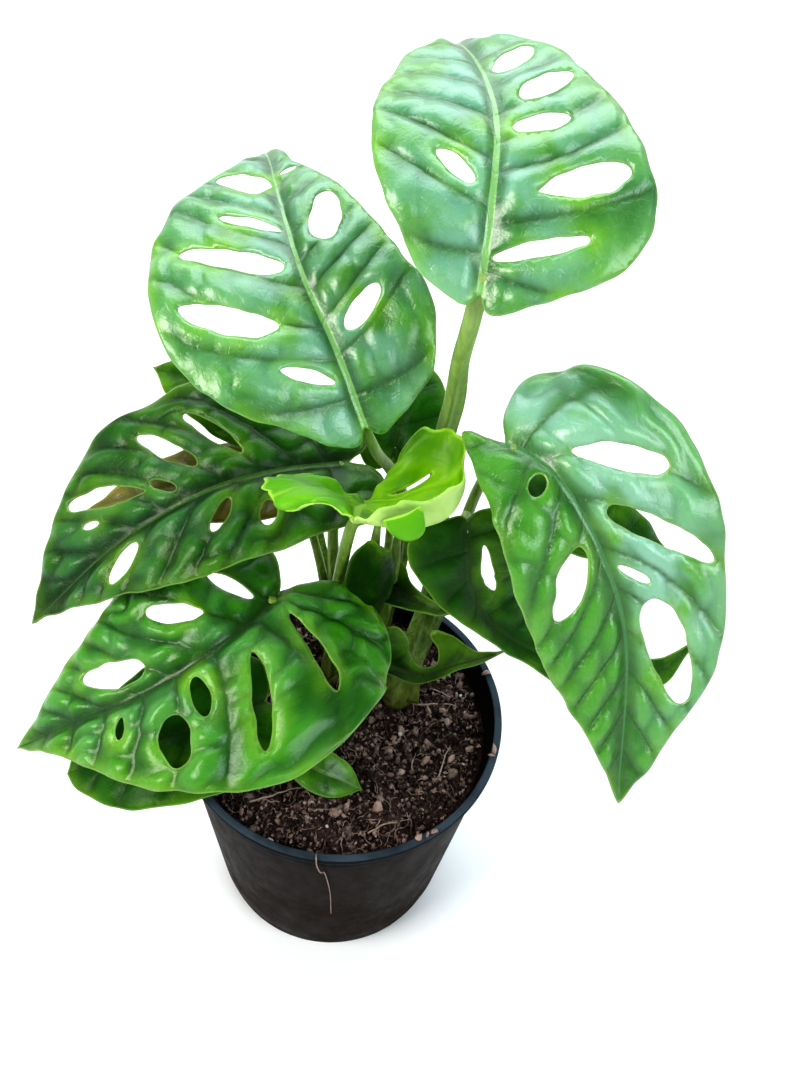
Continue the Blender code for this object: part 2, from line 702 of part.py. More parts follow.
def cut(target, cutter):
    modifier = target.modifiers.new("cut", "BOOLEAN")
    modifier.operation = "DIFFERENCE"
    modifier.object = cutter
    modifier.solver = "EXACT"


def make_pot(collection, cutters, look):
    """The pot: rolled lip, collar band, tapered wall, step and flat drained base."""
    pot = turned("pot", pot_profile(), POT_SIDES, collection, look)
    for drain in range(DRAIN_COUNT):
        angle = math.tau * (drain + 0.5) / DRAIN_COUNT
        place = (DRAIN_CIRCLE_RADIUS * math.cos(angle), DRAIN_CIRCLE_RADIUS * math.sin(angle))
        cut(pot, cylinder(f"drain_{drain}", place, DRAIN_RADIUS, -2, POT_FLOOR + 2, 12, cutters))
    return pot


def soil_height(x, y):
    """The soil's uneven top: gentle humps, a little lower at the wall."""
    radius = math.hypot(x, y)
    humps = noise.noise(Vector((x, y, 0)) / SOIL_HUMP_SIZE)
    to_edge = max(0.0, radius - 0.75 * POT_RIM_RADIUS) / (0.2 * POT_RIM_RADIUS)
    return SOIL_LEVEL + SOIL_RELIEF * humps - 0.5 * SOIL_EDGE_DROP * to_edge**2


def make_soil(collection, cutters, look):
    """The root ball that fills the pot, with a plain hole for each stem."""
    clearance = POT_WALL + GAP / math.cos(math.pi / SOIL_SIDES)
    top_radius = POT_WALL_TOP_RADIUS - clearance - 0.1
    low_radius = POT_BASE_RADIUS - clearance - 0.1
    low = POT_FLOOR + GAP
    slope = (top_radius - low_radius) / (POT_HEIGHT - POT_COLLAR_HEIGHT - 0.8 - POT_FLOOR)
    edge_height = SOIL_LEVEL - SOIL_EDGE_DROP
    edge_radius = low_radius + slope * (edge_height - low)
    points = [(0, 0, soil_height(0, 0))]
    for ring in range(1, SOIL_RINGS + 1):
        radius = edge_radius * ring / SOIL_RINGS
        for side in range(SOIL_SIDES):
            angle = math.tau * side / SOIL_SIDES
            x, y = radius * math.cos(angle), radius * math.sin(angle)
            height = edge_height if ring == SOIL_RINGS else soil_height(x, y)
            points.append((x, y, height))
    for side in range(SOIL_SIDES):
        angle = math.tau * side / SOIL_SIDES
        points.append((low_radius * math.cos(angle), low_radius * math.sin(angle), low))
    faces = [(0, 1 + side, 1 + (side + 1) % SOIL_SIDES) for side in range(SOIL_SIDES)]
    for ring in range(SOIL_RINGS):
        first = 1 + ring * SOIL_SIDES
        for side in range(SOIL_SIDES):
            after = (side + 1) % SOIL_SIDES
            faces.append((first + side, first + SOIL_SIDES + side, first + SOIL_SIDES + after, first + after))
    faces.append([1 + SOIL_RINGS * SOIL_SIDES + side for side in reversed(range(SOIL_SIDES))])
    mesh = mesh_from("soil", np.array(points) * MM, faces)
    mesh.shade_smooth()
    soil = add_object("soil", mesh, collection, look)
    for name, shoot in SHOOTS.items():
        low_end = SOIL_LEVEL - STEM_DEPTH - GAP
        radius = (shoot["radius"] + GAP) / math.cos(math.pi / STEM_HOLE_SIDES)
        hole = cylinder(name + "_hole", shoot["foot"], radius, low_end, SOIL_LEVEL + 8, STEM_HOLE_SIDES, cutters)
        cut(soil, hole)
    return soil


def main():
    for leftover in list(bpy.data.objects):
        bpy.data.objects.remove(leftover, do_unlink=True)
    parts = bpy.data.collections.new("monstera_adansonii")
    cutters = bpy.data.collections.new("cutters")
    for collection in (parts, cutters):
        bpy.context.scene.collection.children.link(collection)
    looks = {
        "leaf": material("leaf_green", LEAF_GREEN, 0.35),
        "leaf_ageing": material("leaf_ageing_yellow", AGEING_YELLOW, 0.5),
    }
    dark = material("leaf_dark_green", DARK_GREEN, 0.4)
    for name in ("leaf_right_shaded", "leaf_centre_dark", "leaf_over_soil", "leaf_back", "leaf_back_left"):
        looks[name] = dark
    surfaces = make_leaves(parts, looks)
    surfaces["leaf_young"] = make_young_leaf(parts, material("leaf_young_lime", YOUNG_GREEN, 0.4))
    stalk_look = material("stalk_green", STALK_GREEN, 0.45)
    for name, shoot in SHOOTS.items():
        make_shoot(name, shoot, surfaces, stalk_look, cutters, parts)
    make_pot(parts, cutters, material("pot_black_plastic", POT_BLACK, 0.45))
    make_soil(parts, cutters, material("soil_brown", SOIL_BROWN, 0.95))


main()
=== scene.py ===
"""The looks of a young Monstera adansonii in its black plastic nursery pot.

The frame is metres with +Z up, with its origin at the centre of the pot's base. The
tables are in millimetres and degrees. Each leaf is described flat first, by u along its
rib and v to the side of it, and is then bent over its rib, as in the part's own source.
"""

import math

import bpy
import bmesh
import numpy as np
from mathutils import Matrix, Vector, noise
from mathutils.geometry import delaunay_2d_cdt


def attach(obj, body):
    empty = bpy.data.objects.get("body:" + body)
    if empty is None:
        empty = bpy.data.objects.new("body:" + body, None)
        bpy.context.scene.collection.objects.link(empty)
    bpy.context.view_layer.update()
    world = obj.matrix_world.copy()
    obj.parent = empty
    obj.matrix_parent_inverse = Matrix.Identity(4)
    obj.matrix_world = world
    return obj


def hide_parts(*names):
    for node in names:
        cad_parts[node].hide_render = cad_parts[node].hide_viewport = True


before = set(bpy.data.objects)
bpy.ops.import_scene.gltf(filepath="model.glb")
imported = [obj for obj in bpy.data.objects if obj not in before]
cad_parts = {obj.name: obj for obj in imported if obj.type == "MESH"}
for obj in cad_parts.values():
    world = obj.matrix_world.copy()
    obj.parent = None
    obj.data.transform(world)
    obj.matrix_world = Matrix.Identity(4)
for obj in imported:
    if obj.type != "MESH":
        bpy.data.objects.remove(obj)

MM = 0.001

# Leaf blades: the waves along their margins, the distance between side veins, the mesh's
# steps, how rough the margin and the holes are drawn, and the thickness at mid and rim.
WAVE_LENGTH = 37.0
WAVE_WIDTH = 35.0
VEIN_STEP = 12.5
FINE_GRID = 1.3
FINE_EDGE = 1.2
HOLE_STEP = 1.2
MARGIN_DEPTH, MARGIN_LUMPS = 0.9, 8
HOLE_DEPTH, HOLE_DEPTH_BY_WIDTH, HOLE_LUMPS = 0.2, 0.08, 5.5
HALF_THICKNESS, HALF_RIM = 0.34, 0.16
GROOVE_DEPTH, GROOVE_WIDTH = 0.5, 1.6
KEEL_DEPTH, KEEL_WIDTH = 0.9, 1.3
LEAF_COAT_ROUGHNESS = 0.28

# Stalks and sheets: corners round a stalk, the gap and straight end below a blade, the
# share of its length that is sheathed, and half the thickness of loose sheets.
STALK_SIDES = 20
STALK_GAP = 0.6
STALK_END = 4.0
SHEATHED = 0.45
LEAF_SHEET, SHEATH_SHEET = 0.35, 0.3

# Pot and soil: the drain holes, the turned wall, the soil's rings of points and its foot,
# and how many crumbs, white grains and fibres are strewn over it.
DRAINS, DRAIN_RADIUS, DRAIN_CIRCLE, DRAIN_DEPTH = 6, 4, 33, 12
POT_SIDES, POT_UNEVEN = 144, 0.12
SOIL_LEVEL = 100.5
SOIL_RINGS, SOIL_SIDES, SOIL_RADIUS = 44, 190, 55.0
SOIL_FOOT_RADIUS, SOIL_FOOT = 44.2, 2.2
CRUMBS, PERLITE, FIBRES = 4200, 64, 950
FIBRE_REACH = 54

# Camera and lights, in metres and degrees, and half the floor's width, in millimetres.
# Each light has its place, size, power and colour. The sky fades from low to high.
CAMERA_PLACE = (0.0158, -0.2255, 0.4778)
CAMERA_TILT, CAMERA_ROLL = 40.19, 7.04
CAMERA_LENS, CAMERA_SENSOR = 38.33, 36
FLOOR_HALF = 4000
AIM = (0, 0, 0.2)
LIGHTS = {
    "window": ((-0.05, 0.95, 1.35), (1.9, 1.3), 24, (0.86, 0.94, 1.0)),
    "side_window": ((0.85, -0.6, 1.15), (0.7, 0.8), 9, (0.86, 0.95, 1.0)),
    "key": ((-0.8, -0.5, 1.1), (0.6, 0.6), 12, (1.0, 0.97, 0.92)),
}
SKY_COLOUR = (0.93, 0.97, 1.0, 1)
SKY_FADE = {"From Min": 0.15, "From Max": 0.6, "To Min": 0.8, "To Max": 0.12}

# Leaves: the rib's points, the upward direction at its base and tip, the fold of the
# halves in degrees and their curl in degrees a centimetre, both at base and tip, the
# height of the margin's waves, the outline of each half as (u, v), or plain: its length,
# two half widths and base lobes, and the holes, each from its inner end to its outer end
# with its width and, where it isn't 0.5, the place along it where it is widest. Then how
# high the blade swells between its side veins in mm, how deep its pillows are cut, how far
# the side veins of its two halves sweep on, how many times coarser it is meshed than the
# largest leaves, how far its margin is ruffled in mm, and its paint.
PLAIN_LEAF = dict(
    up=[(0, -0.3, 1), (-0.2, -0.3, 1)], fold=(4, 4), curl=(-3.5, -3.5), wave=1.0, holes=[],
    swell=1.0, pillow=0.5, sweeps=(1, 1), coarse=1.3, ruffle=0.6, look="shaded",
)
LEAVES = {
    "leaf_top_right": dict(
        rib=[(27, 10, 298), (27, 26, 315), (26, 47, 324), (21, 68, 326), (14, 92, 321), (9, 111, 309)],
        up=[(0, -0.4, 1), (0, -0.3, 1)], fold=(10, 0), curl=(-3, -4.5), swell=1.9, pillow=0.35,
        sweeps=(0.85, 0.95), coarse=1.0, look="pale",
        left=[(0, 0), (-3, 5), (3, 15), (14, 23), (28, 30), (43, 32), (58, 30), (74, 24), (90, 15),
            (104, 5)],
        right=[(0, 0), (-5, 3), (-4, 9), (1, 20), (6, 30), (13, 37), (22, 41), (33, 40), (47, 34),
            (61, 28), (76, 23), (92, 15), (104, 6)],
        holes=[(27, -5, 35, -15, 5), (66, 3, 79, 16, 8), (54, 7, 63, 23, 7), (44, 4, 47, 19, 5.5),
            (26, 11, 34, 34, 8, 0.6), (9, 2, 16, 25, 4)],
    ),
    "leaf_top_left": dict(
        rib=[(0, 20, 236), (-11, 33, 254), (-24, 51, 266), (-35, 78, 271), (-44, 109, 266),
            (-48, 122, 260)],
        up=[(0, -0.5, 1), (-0.1, -0.4, 1)], fold=(12, 4), swell=1.8, pillow=0.4, coarse=1.0, look="pale",
        left=[(0, 0), (-4, 4), (-1, 12), (6, 20), (15, 31), (26, 40), (40, 45), (56, 45), (72, 42),
            (86, 34), (98, 26), (110, 15), (121, 6)],
        right=[(0, 0), (-3, 5), (1, 13), (8, 23), (18, 29), (31, 32), (45, 29), (60, 26), (74, 21),
            (88, 15), (104, 8), (118, 4)],
        holes=[(88, -3, 104, -17, 11, 0.4), (67, -2, 78, -19, 4), (53, -5, 68, -34, 7, 0.4),
            (37, -13, 50, -38, 7, 0.45), (16, -4, 25, -18, 4), (96, 2, 100, 8, 3.5), (59, 9, 78, 15, 10),
            (29, 5, 37, 19, 6)],
    ),
    "leaf_right": dict(
        rib=[(41, 17, 241), (55, 4, 244), (72, -10, 228), (85, -24, 202), (91, -52, 160)],
        up=[(0, -0.6, 1), (0.1, -0.8, 0.6)], fold=(8, 10), curl=(-4.5, -3.5), wave=1.2, swell=2.0,
        sweeps=(1.5, 1.4), coarse=1.0, look="bluish",
        left=[(0, 0), (-6, 8), (-8, 18), (-3, 26), (8, 31), (20, 36), (34, 39), (48, 37), (64, 33),
            (78, 29), (92, 23), (106, 15), (119, 8)],
        right=[(0, 0), (-7, 2), (-13, 5), (-3, 11), (8, 18), (22, 23), (40, 27), (60, 28), (80, 26),
            (96, 19), (112, 9), (122, 4)],
        holes=[(19, -8, 36, -29, 7, 0.6), (37, -7, 62, -30, 7, 0.4), (53, -3, 61, -10, 2.5),
            (66, -8, 96, -16.5, 11.5, 0.4), (18, 3, 22, 9, 5), (42, 5, 62, 19, 9)],
    ),
    "leaf_left_front": dict(
        rib=[(-24, 6, 168), (-38, -19, 172), (-62, -34, 160), (-85, -39, 145), (-105, -42, 128)],
        fold=(6, 4), wave=1.3, swell=2.7, pillow=0.55, sweeps=(1.4, 0.75), coarse=1.0, look="quilted",
        left=[(0, 0), (-9, 3), (-17, 9), (-20, 18), (-18, 30), (-9, 42), (4, 48), (20, 50), (36, 48),
            (50, 41), (64, 31), (78, 20), (94, 10), (105, 4)],
        right=[(0, 0), (-9, 7), (-12, 15), (-9, 26), (0, 35), (14, 39), (30, 40), (46, 39), (62, 35),
            (78, 27), (90, 18), (102, 8)],
        holes=[(8, 5, 11, 22, 6), (27, 12, 47, 23, 7), (55, 7, 81, 12, 9), (5, -8, 19, -38, 5),
            (25, -9, 36, -37, 4), (42, -5, 44, -18, 5.5), (53, -12, 56, -28, 10), (68, -5, 70, -12, 3)],
    ),
    "leaf_left_back": dict(
        rib=[(-6, 48, 192), (-30, 32, 200), (-52, 20, 198), (-80, 7, 180), (-106, -7, 152)],
        fold=(6, 4), curl=(-4.5, -3.5), wave=1.3, swell=2.1, sweeps=(1.2, 1.3), coarse=1.0, look="dark",
        left=[(0, 0), (-8, 4), (-9, 12), (-2, 20), (10, 24), (26, 27), (42, 29), (60, 28), (80, 23),
            (100, 15), (118, 6)],
        right=[(0, 0), (-8, 5), (-9, 14), (0, 22), (14, 28), (30, 36), (47, 42), (64, 42), (80, 40),
            (94, 34), (106, 23), (118, 13)],
        holes=[(53, 10, 68, 31, 6), (38, 9, 51, 30, 5), (72, 10, 99, 24, 7, 0.6), (62, 5, 69, 12, 3.5),
            (91, 10, 97, 13, 2.5), (81, -5, 97, -11, 6), (47, -6, 56, -15, 5), (35, -11, 39, -19, 5)],
    ),
    "leaf_right_shaded": dict(
        rib=[(35, 17, 203), (37, 13, 192), (40, 11, 176), (49, 11, 160), (65, 12, 146), (92, 12, 134),
            (116, 22, 130), (128, 32, 136)],
        up=[(0.1, -0.5, 1), (0.2, -0.5, 0.8)], curl=(-2.5, -2.5), wave=0.6, swell=1.8, coarse=1.2,
        left=[(0, 0), (-4, 4), (-3, 12), (6, 20), (20, 24), (36, 21), (50, 15), (64, 10), (80, 8),
            (100, 7), (116, 5), (130, 3)],
        right=[(0, 0), (-3, 3), (-2, 12), (3, 20), (12, 20), (22, 15), (34, 9), (48, 6), (64, 6), (80, 7),
            (100, 9), (116, 7), (130, 3)],
        holes=[(9, -5, 37, -8, 4)],
    ),
    "leaf_right_low": dict(
        rib=[(48, 40, 196), (68, 40, 190), (92, 44, 178), (114, 50, 160)],
        up=[(0, -0.4, 1), (0.2, -0.4, 1)], plain=(78, 13, 15, 5), swell=1.2,
    ),
    "leaf_centre_dark": dict(
        rib=[(6, 24, 161), (11, 22, 161), (17, 19, 160), (27, 15, 159), (35, 12, 161)],
        up=[(0, -0.5, 1), (0, -0.5, 1)], fold=(10, 6), curl=(-2.5, -2.5), wave=0.5, swell=0.9, pillow=0.4,
        look="deep",
        left=[(0, 0), (-4, 3), (-6, 7), (-4, 11), (4, 10), (12, 6), (20, 3), (27, 2)],
        right=[(0, 0), (-6, 1), (-9, 4), (-5, 8), (0, 10), (8, 7), (15, 5), (22, 3), (28, 2)],
    ),
    "leaf_over_soil": dict(
        rib=[(9, 2, 146), (17, 3, 137), (29, 5, 132), (39, 9, 134), (50, 15, 133), (58, 21, 130)],
        up=[(0, -0.9, 0.5), (0, -0.9, 0.5)], curl=(-2.5, -2.5), wave=0.3, swell=0.8, pillow=0.4,
        look="deep",
        left=[(0, 0), (-4, 5), (-6, 11), (-2, 14), (8, 11), (15, 8), (22, 3), (26, 2.5), (31, 3), (33, 8),
            (32, 14), (34, 16), (37, 12), (42, 6), (49, 2)],
        right=[(0, 0), (-2, 3), (4, 5), (12, 3), (20, 4), (28, 3), (38, 2), (48, 2)],
    ),
    "leaf_low_front": dict(
        rib=[(-12, -26, 117), (-4, -31, 119), (4, -32, 116), (12, -32, 110)],
        up=[(0, -0.3, 1), (0, -0.3, 1)], fold=(3, 3), wave=0.4, plain=(27, 8, 8, 2), swell=0.7,
        pillow=0.3, look="small",
    ),
    "leaf_low_left": dict(
        rib=[(-27, -8, 122), (-44, -20, 124), (-66, -31, 121), (-92, -38, 107)],
        wave=0.8, swell=1.1,
        left=[(0, 0), (-4, 5), (-4, 13), (4, 20), (18, 25), (34, 25), (50, 22), (62, 16), (72, 8)],
        right=[(0, 0), (-4, 6), (-4, 16), (8, 25), (24, 28), (42, 26), (58, 18), (70, 8)],
        holes=[(22, -6, 30, -15, 5)],
    ),
    "leaf_ageing": dict(
        rib=[(-24, 57, 166), (-46, 51, 172), (-72, 47, 167), (-102, 45, 152)],
        plain=(82, 16, 15, 5), swell=0.9, pillow=0.4, look="ageing",
    ),
    "leaf_back_left": dict(
        rib=[(-36, 66, 181), (-50, 71, 189), (-67, 77, 193), (-84, 86, 189)],
        fold=(6, 4), wave=0.6, plain=(54, 14, 16, 4), coarse=1.4,
    ),
    "leaf_back": dict(
        rib=[(8, 66, 178), (9, 78, 189), (11, 90, 195), (12, 103, 195)],
        up=[(0, -0.5, 1), (0, -0.4, 1)], fold=(8, 4), wave=0.6, plain=(44, 17, 17, 5), coarse=1.4,
    ),
}

# The young leaf is still unrolling, so it is given as rows of points from its base to
# its tip, each row from the outer left margin over the rib to the outer right margin.
YOUNG_ROWS = [
    [(-19, 17, 220), (-11, 16, 216), (-3, 15, 211), (2, 15, 210), (6, 18, 212), (9, 22, 217),
     (11, 26, 225)],
    [(-26, 8, 225), (-14, 10, 220), (-4, 11, 215), (2, 11, 213), (7, 15, 215), (13, 22, 221),
     (17, 30, 230)],
    [(-28, 0, 228), (-15, 3, 227), (-4, 5, 222), (2, 6, 218), (13, 10, 217), (24, 19, 222),
     (27, 29, 231)],
    [(-24, -5, 228), (-13, -4, 232), (-4, -2, 228), (1, -2, 225), (16, 0, 221), (29, 8, 224),
     (32, 19, 232)],
    [(-19, -10, 229), (-11, -10, 236), (-3, -9, 233), (1, -9, 230), (14, -11, 228), (27, -6, 231),
     (28, 1, 238)],
    [(-12, -11, 238), (-5, -13, 237), (-1, -15, 236), (1, -16, 235), (5, -15, 238), (13, -12, 242),
     (22, -8, 243)],
]
YOUNG_CELL = 9.0

# Stalks: each leafy stem stands straight in the soil at its foot and carries stalks,
# each a route of points that ends under its leaf, with its radius at foot and top.
SHOOTS = {
    "shoot_right": dict(foot=(20, 13), radius=4.2, stalks={
        "leaf_top_right": ([
            (20, 13, 106), (23, 19, 126), (27, 32, 140), (28, 39, 158), (26, 41, 180),
            (24, 40, 202), (24, 36, 226), (25, 30, 243), (25, 22, 265), (26, 15, 284),
        ], 3.6, 2.4),
        "leaf_right": ([
            (21, 14, 106), (25, 25, 128), (33, 39, 160), (38, 39, 195), (42, 27, 221),
        ], 2.4, 1.6),
        "leaf_right_shaded": ([(22, 14, 106), (29, 26, 132), (34, 34, 165), (35, 31, 190)], 2.2, 1.4),
        "leaf_right_low": ([(22, 15, 106), (32, 33, 135), (42, 44, 170)], 2.2, 1.4),
    }),
    "shoot_young": dict(foot=(-6, 20), radius=3.6, stalks={
        "leaf_young": ([
            (-6, 20, 106), (-6, 21, 140), (-5, 20, 166), (-3, 15, 189), (-1, 12, 202),
        ], 2.8, 1.8),
        "leaf_centre_dark": ([(-5, 22, 106), (-3, 28, 130), (2, 30, 148)], 1.9, 1.2),
        "leaf_over_soil": ([(-5, 19, 106), (-1, 14, 122), (5, 10, 136)], 1.9, 1.2),
    }),
    "shoot_back": dict(foot=(10, 40), radius=3.6, stalks={
        "leaf_top_left": ([
            (10, 40, 106), (14, 46, 135), (15, 49, 160), (12, 47, 182), (8, 41, 198),
            (4, 34, 211), (2, 27, 223),
        ], 2.6, 1.7),
        "leaf_back": ([(10, 41, 106), (10, 53, 138), (9, 61, 160)], 2.0, 1.2),
    }),
    "shoot_left": dict(foot=(-8, 34), radius=4.4, stalks={
        "leaf_left_back": ([(-8, 35, 106), (-9, 42, 130), (-11, 48, 160), (-9, 50, 180)], 2.6, 1.6),
        "leaf_left_front": ([(-9, 32, 106), (-14, 24, 130), (-20, 13, 151)], 2.4, 1.7),
        "leaf_ageing": ([(-9, 36, 106), (-14, 45, 132), (-21, 52, 154)], 2.0, 1.4),
        "leaf_back_left": ([(-9, 36, 106), (-14, 52, 130), (-22, 68, 150), (-30, 71, 167)], 2.0, 1.2),
    }),
    "shoot_front": dict(foot=(-15, -13), radius=2.6, stalks={
        "leaf_low_front": ([(-15, -13, 105), (-14, -20, 110)], 1.4, 0.9),
        "leaf_low_left": ([(-16, -12, 105), (-21, -9, 113)], 1.6, 1.3),
    }),
}

# Leaf paints. From deep in the veins over green to bright on the swells, which is painted shade
# in the valleys and painted light on the swells over random tone, then mottling and rim in
# yellow, darker lines along the side veins that are partly painted shade in their grooves, a
# fine net, a painted bluish sheen by its side of the rib, reach along it and cover, the rib's
# line, the painted lit rim and the paler underside. The dark, shaded and deep looks are darker
# copies of the paint that paint the shade their leaves lie in.
PLAIN_LOOK = dict(
    deep=(0.008, 0.055, 0.002), green=(0.02, 0.13, 0.004), bright=(0.055, 0.26, 0.009),
    mottle=0.25, yellow=(0.2, 0.42, 0.02), rim_yellow=0.3, vein=0.35, vein_colour=(0.008, 0.05, 0.002),
    net=0.08, rib_width=1.2, rib=0.8, rib_colour=(0.12, 0.24, 0.05), painted_rim_light=(0.3, 0.45, 0.12),
    under_dark=(0.07, 0.16, 0.03), under=(0.13, 0.26, 0.06), rough=0.34, relief=0.34, gloss=0.35,
    coat=0.4, painted_valley_shade=0.75, painted_sheen=0.0, painted_sheen_colour=(0.2, 0.4, 0.36), painted_sheen_side=(-100, -99),
    painted_sheen_reach=(3, 2), painted_sheen_cover=(0.36, 0.6),
)
LEAF_LOOKS = {
    "pale": dict(
        deep=(0.009, 0.075, 0.005), green=(0.028, 0.15, 0.015), bright=(0.075, 0.26, 0.035),
        mottle=0.5, yellow=(0.14, 0.36, 0.01), rim_yellow=0.9, vein=0.5, painted_valley_shade=0.85, painted_sheen=0.5,
        vein_colour=(0.012, 0.08, 0.004), rib_colour=(0.2, 0.42, 0.13), painted_rim_light=(0.25, 0.45, 0.1),
        gloss=0.55, coat=0.7,
    ),
    "bluish": dict(
        deep=(0.01, 0.07, 0.004), green=(0.03, 0.16, 0.01), bright=(0.07, 0.28, 0.02),
        rib_colour=(0.06, 0.2, 0.06), gloss=0.5, coat=0.7, painted_sheen=0.65, painted_sheen_side=(4, -14),
        painted_sheen_colour=(0.31, 0.53, 0.48), painted_sheen_reach=(0.95, 0.45), painted_sheen_cover=(0.3, 0.52),
    ),
    "quilted": dict(
        deep=(0.004, 0.032, 0.001), green=(0.014, 0.1, 0.002), bright=(0.05, 0.24, 0.007),
        rim_yellow=0.5, rib=0.75, rib_colour=(0.015, 0.05, 0.004), gloss=0.25, coat=0.45,
        painted_sheen=0.3, painted_sheen_colour=(0.12, 0.32, 0.13),
    ),
    # A darker copy of the leaf paint: painted shade for the leaf that lies behind and under the top leaves.
    "dark": dict(
        deep=(0.003, 0.017, 0.001), green=(0.008, 0.048, 0.002), bright=(0.028, 0.13, 0.005),
        mottle=0.1, rib_colour=(0.05, 0.12, 0.02), gloss=0.2, coat=0.22, painted_sheen=0.25,
        painted_sheen_colour=(0.08, 0.24, 0.12), painted_sheen_reach=(0.1, 0.6),
    ),
    # A darker copy of the leaf paint: painted shade for the leaves under and behind the others.
    "shaded": dict(
        deep=(0.005, 0.035, 0.001), green=(0.011, 0.07, 0.002), bright=(0.025, 0.13, 0.004),
        rib_colour=(0.03, 0.08, 0.01), gloss=0.12, coat=0.06, painted_valley_shade=0.5,
    ),
    # The darkest copy of the leaf paint: painted shade for the low leaves among the stalks and the fold
    # between them.
    "deep": dict(
        deep=(0.003, 0.015, 0.001), green=(0.006, 0.035, 0.002), bright=(0.014, 0.065, 0.003),
        rib_colour=(0.03, 0.06, 0.008), gloss=0.12, coat=0.05,
    ),
    "small": dict(deep=(0.02, 0.08, 0.003), green=(0.045, 0.16, 0.006), bright=(0.09, 0.26, 0.01)),
    "ageing": dict(
        deep=(0.06, 0.07, 0.006), green=(0.14, 0.13, 0.012), bright=(0.22, 0.2, 0.02), mottle=0.7,
        yellow=(0.26, 0.17, 0.03), vein_colour=(0.08, 0.09, 0.01), rib_colour=(0.2, 0.17, 0.04),
    ),
}

# The part of a stalk's length that its two thin wings follow up from the foot, where it
# isn't the usual one, and how much thicker a stalk is low down.
SHEATHS = {"leaf_top_right": 0.84, "leaf_young": 0.6, "leaf_low_front": 0.2, "leaf_low_left": 0.2}
STALK_SWELLS = {"leaf_top_right": 0.45, "leaf_young": 0.2}

# The young leaf's slits, as (u, v) at both ends and the width, and the small lobe that
# hangs below its near wall, as rows of points.
YOUNG_SLITS = [(13, -9, 16, -17.5, 0.9, 0.6), (5, 8, 20, 13, 1.0)]
YOUNG_LOBE = [
    [(18.6, -13.2, 241.4), (19, -13.1, 241.2), (19.3, -13, 240.8), (19.6, -12.9, 240.2)],
    [(15.5, -14.6, 239.8), (17.2, -16, 237.6), (19.6, -16.2, 235.4), (21, -15.4, 234.8)],
    [(12.2, -15.2, 238.2), (13.8, -17, 235.2), (16.2, -17.4, 231.8), (18.8, -16, 230.6)],
    [(9, -15.4, 236.4), (10.2, -16.2, 234.4), (12.2, -16.6, 232), (14.8, -15.8, 230.2)],
]

# A fold of leaf between the stalks, in the darkest leaf paint, which paints the shade there, and
# the sheaths round the stalks' lower parts, as rows of points from the foot up.
CENTRE_FOLD = [
    [(9, 15, 146), (5, 11, 147), (0, 13, 150), (-3, 16, 152)],
    [(13, 16, 162), (7, 10, 164), (2, 12, 167), (-3, 15, 168)],
    [(14, 15, 176), (9, 10, 180), (4, 12, 184), (-1, 14, 183)],
    [(12, 14, 187), (9, 11, 192), (6, 11.5, 195), (4, 12, 194)],
]
SHEATH_SHEETS = [
    [[(15, 16, 102), (15.5, 9.5, 102), (21, 7.5, 102), (25, 10, 102)],
     [(16, 17, 112), (16.5, 10.5, 112), (21, 8.8, 112), (26, 11, 112)],
     [(18.5, 18, 121), (18.5, 13, 121), (22, 11.4, 121), (25.5, 13, 120)],
     [(21.5, 19, 127), (21, 16, 128), (22.5, 14.8, 128), (24, 15.6, 127)]],
    [[(-1, 22, 106), (1, 19, 106), (4, 19, 106), (6, 22, 106)],
     [(1, 22, 135), (3, 20, 135), (6, 20, 135), (7, 22, 135)],
     [(3, 18, 170), (5, 16.5, 170), (7, 16.5, 170), (8, 18, 170)],
     [(5.5, 15, 199), (6.2, 14.4, 200), (7, 14.4, 200), (7.6, 15, 199)]],
    [[(5, 26, 106), (7, 24, 106), (10, 24, 106), (12, 26, 106)],
     [(8, 25, 135), (9.5, 23.6, 135), (12, 23.6, 135), (13.4, 25, 135)],
     [(11, 22, 168), (12, 21, 168), (14, 21, 168), (15, 22, 168)],
     [(12.4, 17.5, 199), (12.9, 17, 200), (13.6, 17, 200), (14, 17.5, 199)]],
]

# Long bare roots on the soil: where each starts, its heading, length and thickness.
LONG_ROOTS = [
    (24, 13, -12, 20, 0.5), (48, 33, -96, 13, 0.45), (32, 21, -23, 10, 0.35), (-30, -38, 20, 24, 0.4),
    (14, -44, 35, 18, 0.35), (-44, 4, -70, 22, 0.4), (-12, 46, 150, 18, 0.4), (38, -20, 80, 16, 0.35),
]
ROOT_HAIR = [
    (-1.2, -53, 102), (-1.0, -57.4, 109.4), (-0.7, -60.1, 110.9), (-0.2, -61, 107.5),
    (1.1, -60.2, 101), (2.3, -57.4, 94.5), (4.4, -55.2, 74), (5.2, -52.6, 48),
]

# Crumbs that lie on the pot's rim: the angle, the distance from the middle and the height.
RIM_CRUMBS = [(-52, 58.2, 110.6), (-49.5, 58.6, 110.9), (-12, 57.8, 110.8), (-9, 58.3, 110.6),
              (-55, 57.6, 110.4), (24, 58.1, 110.5)]


def unit(vectors):
    """The same vectors at length 1."""
    vectors = np.asarray(vectors, float)
    return vectors / np.maximum(np.linalg.norm(vectors, axis=-1, keepdims=True), 1e-12)


def smooth(low, high, values):
    """0 below low, 1 above high and an even S between them."""
    share = np.clip((np.asarray(values, float) - low) / (high - low), 0, 1)
    return share * share * (3 - 2 * share)


def scatter(*numbers):
    """A steady number from 0 to 1 for each set of whole numbers."""
    total = np.zeros(np.shape(numbers[0]))
    for number, weight in zip(numbers, (12.9898, 78.233, 37.719)):
        total = total + np.asarray(number, float) * weight
    return np.modf(np.abs(np.sin(total)) * 43758.5453)[0]

def chance(*numbers):
    """One steady number from 0 to 1."""
    return float(scatter(*numbers))


def lumps(points, size, seed=0.0, level=0.0):
    """Smooth noise from -1 to 1, with lumps of a size in mm; flat points get a level."""
    points = np.asarray(points, float)
    if points.shape[1] == 2:
        points = np.c_[points, np.full(len(points), float(level))]
    shift = Vector((seed * 7.31, seed * 3.17, seed * 5.93))
    return np.array([noise.noise(Vector(tuple(point)) / size + shift) for point in points])


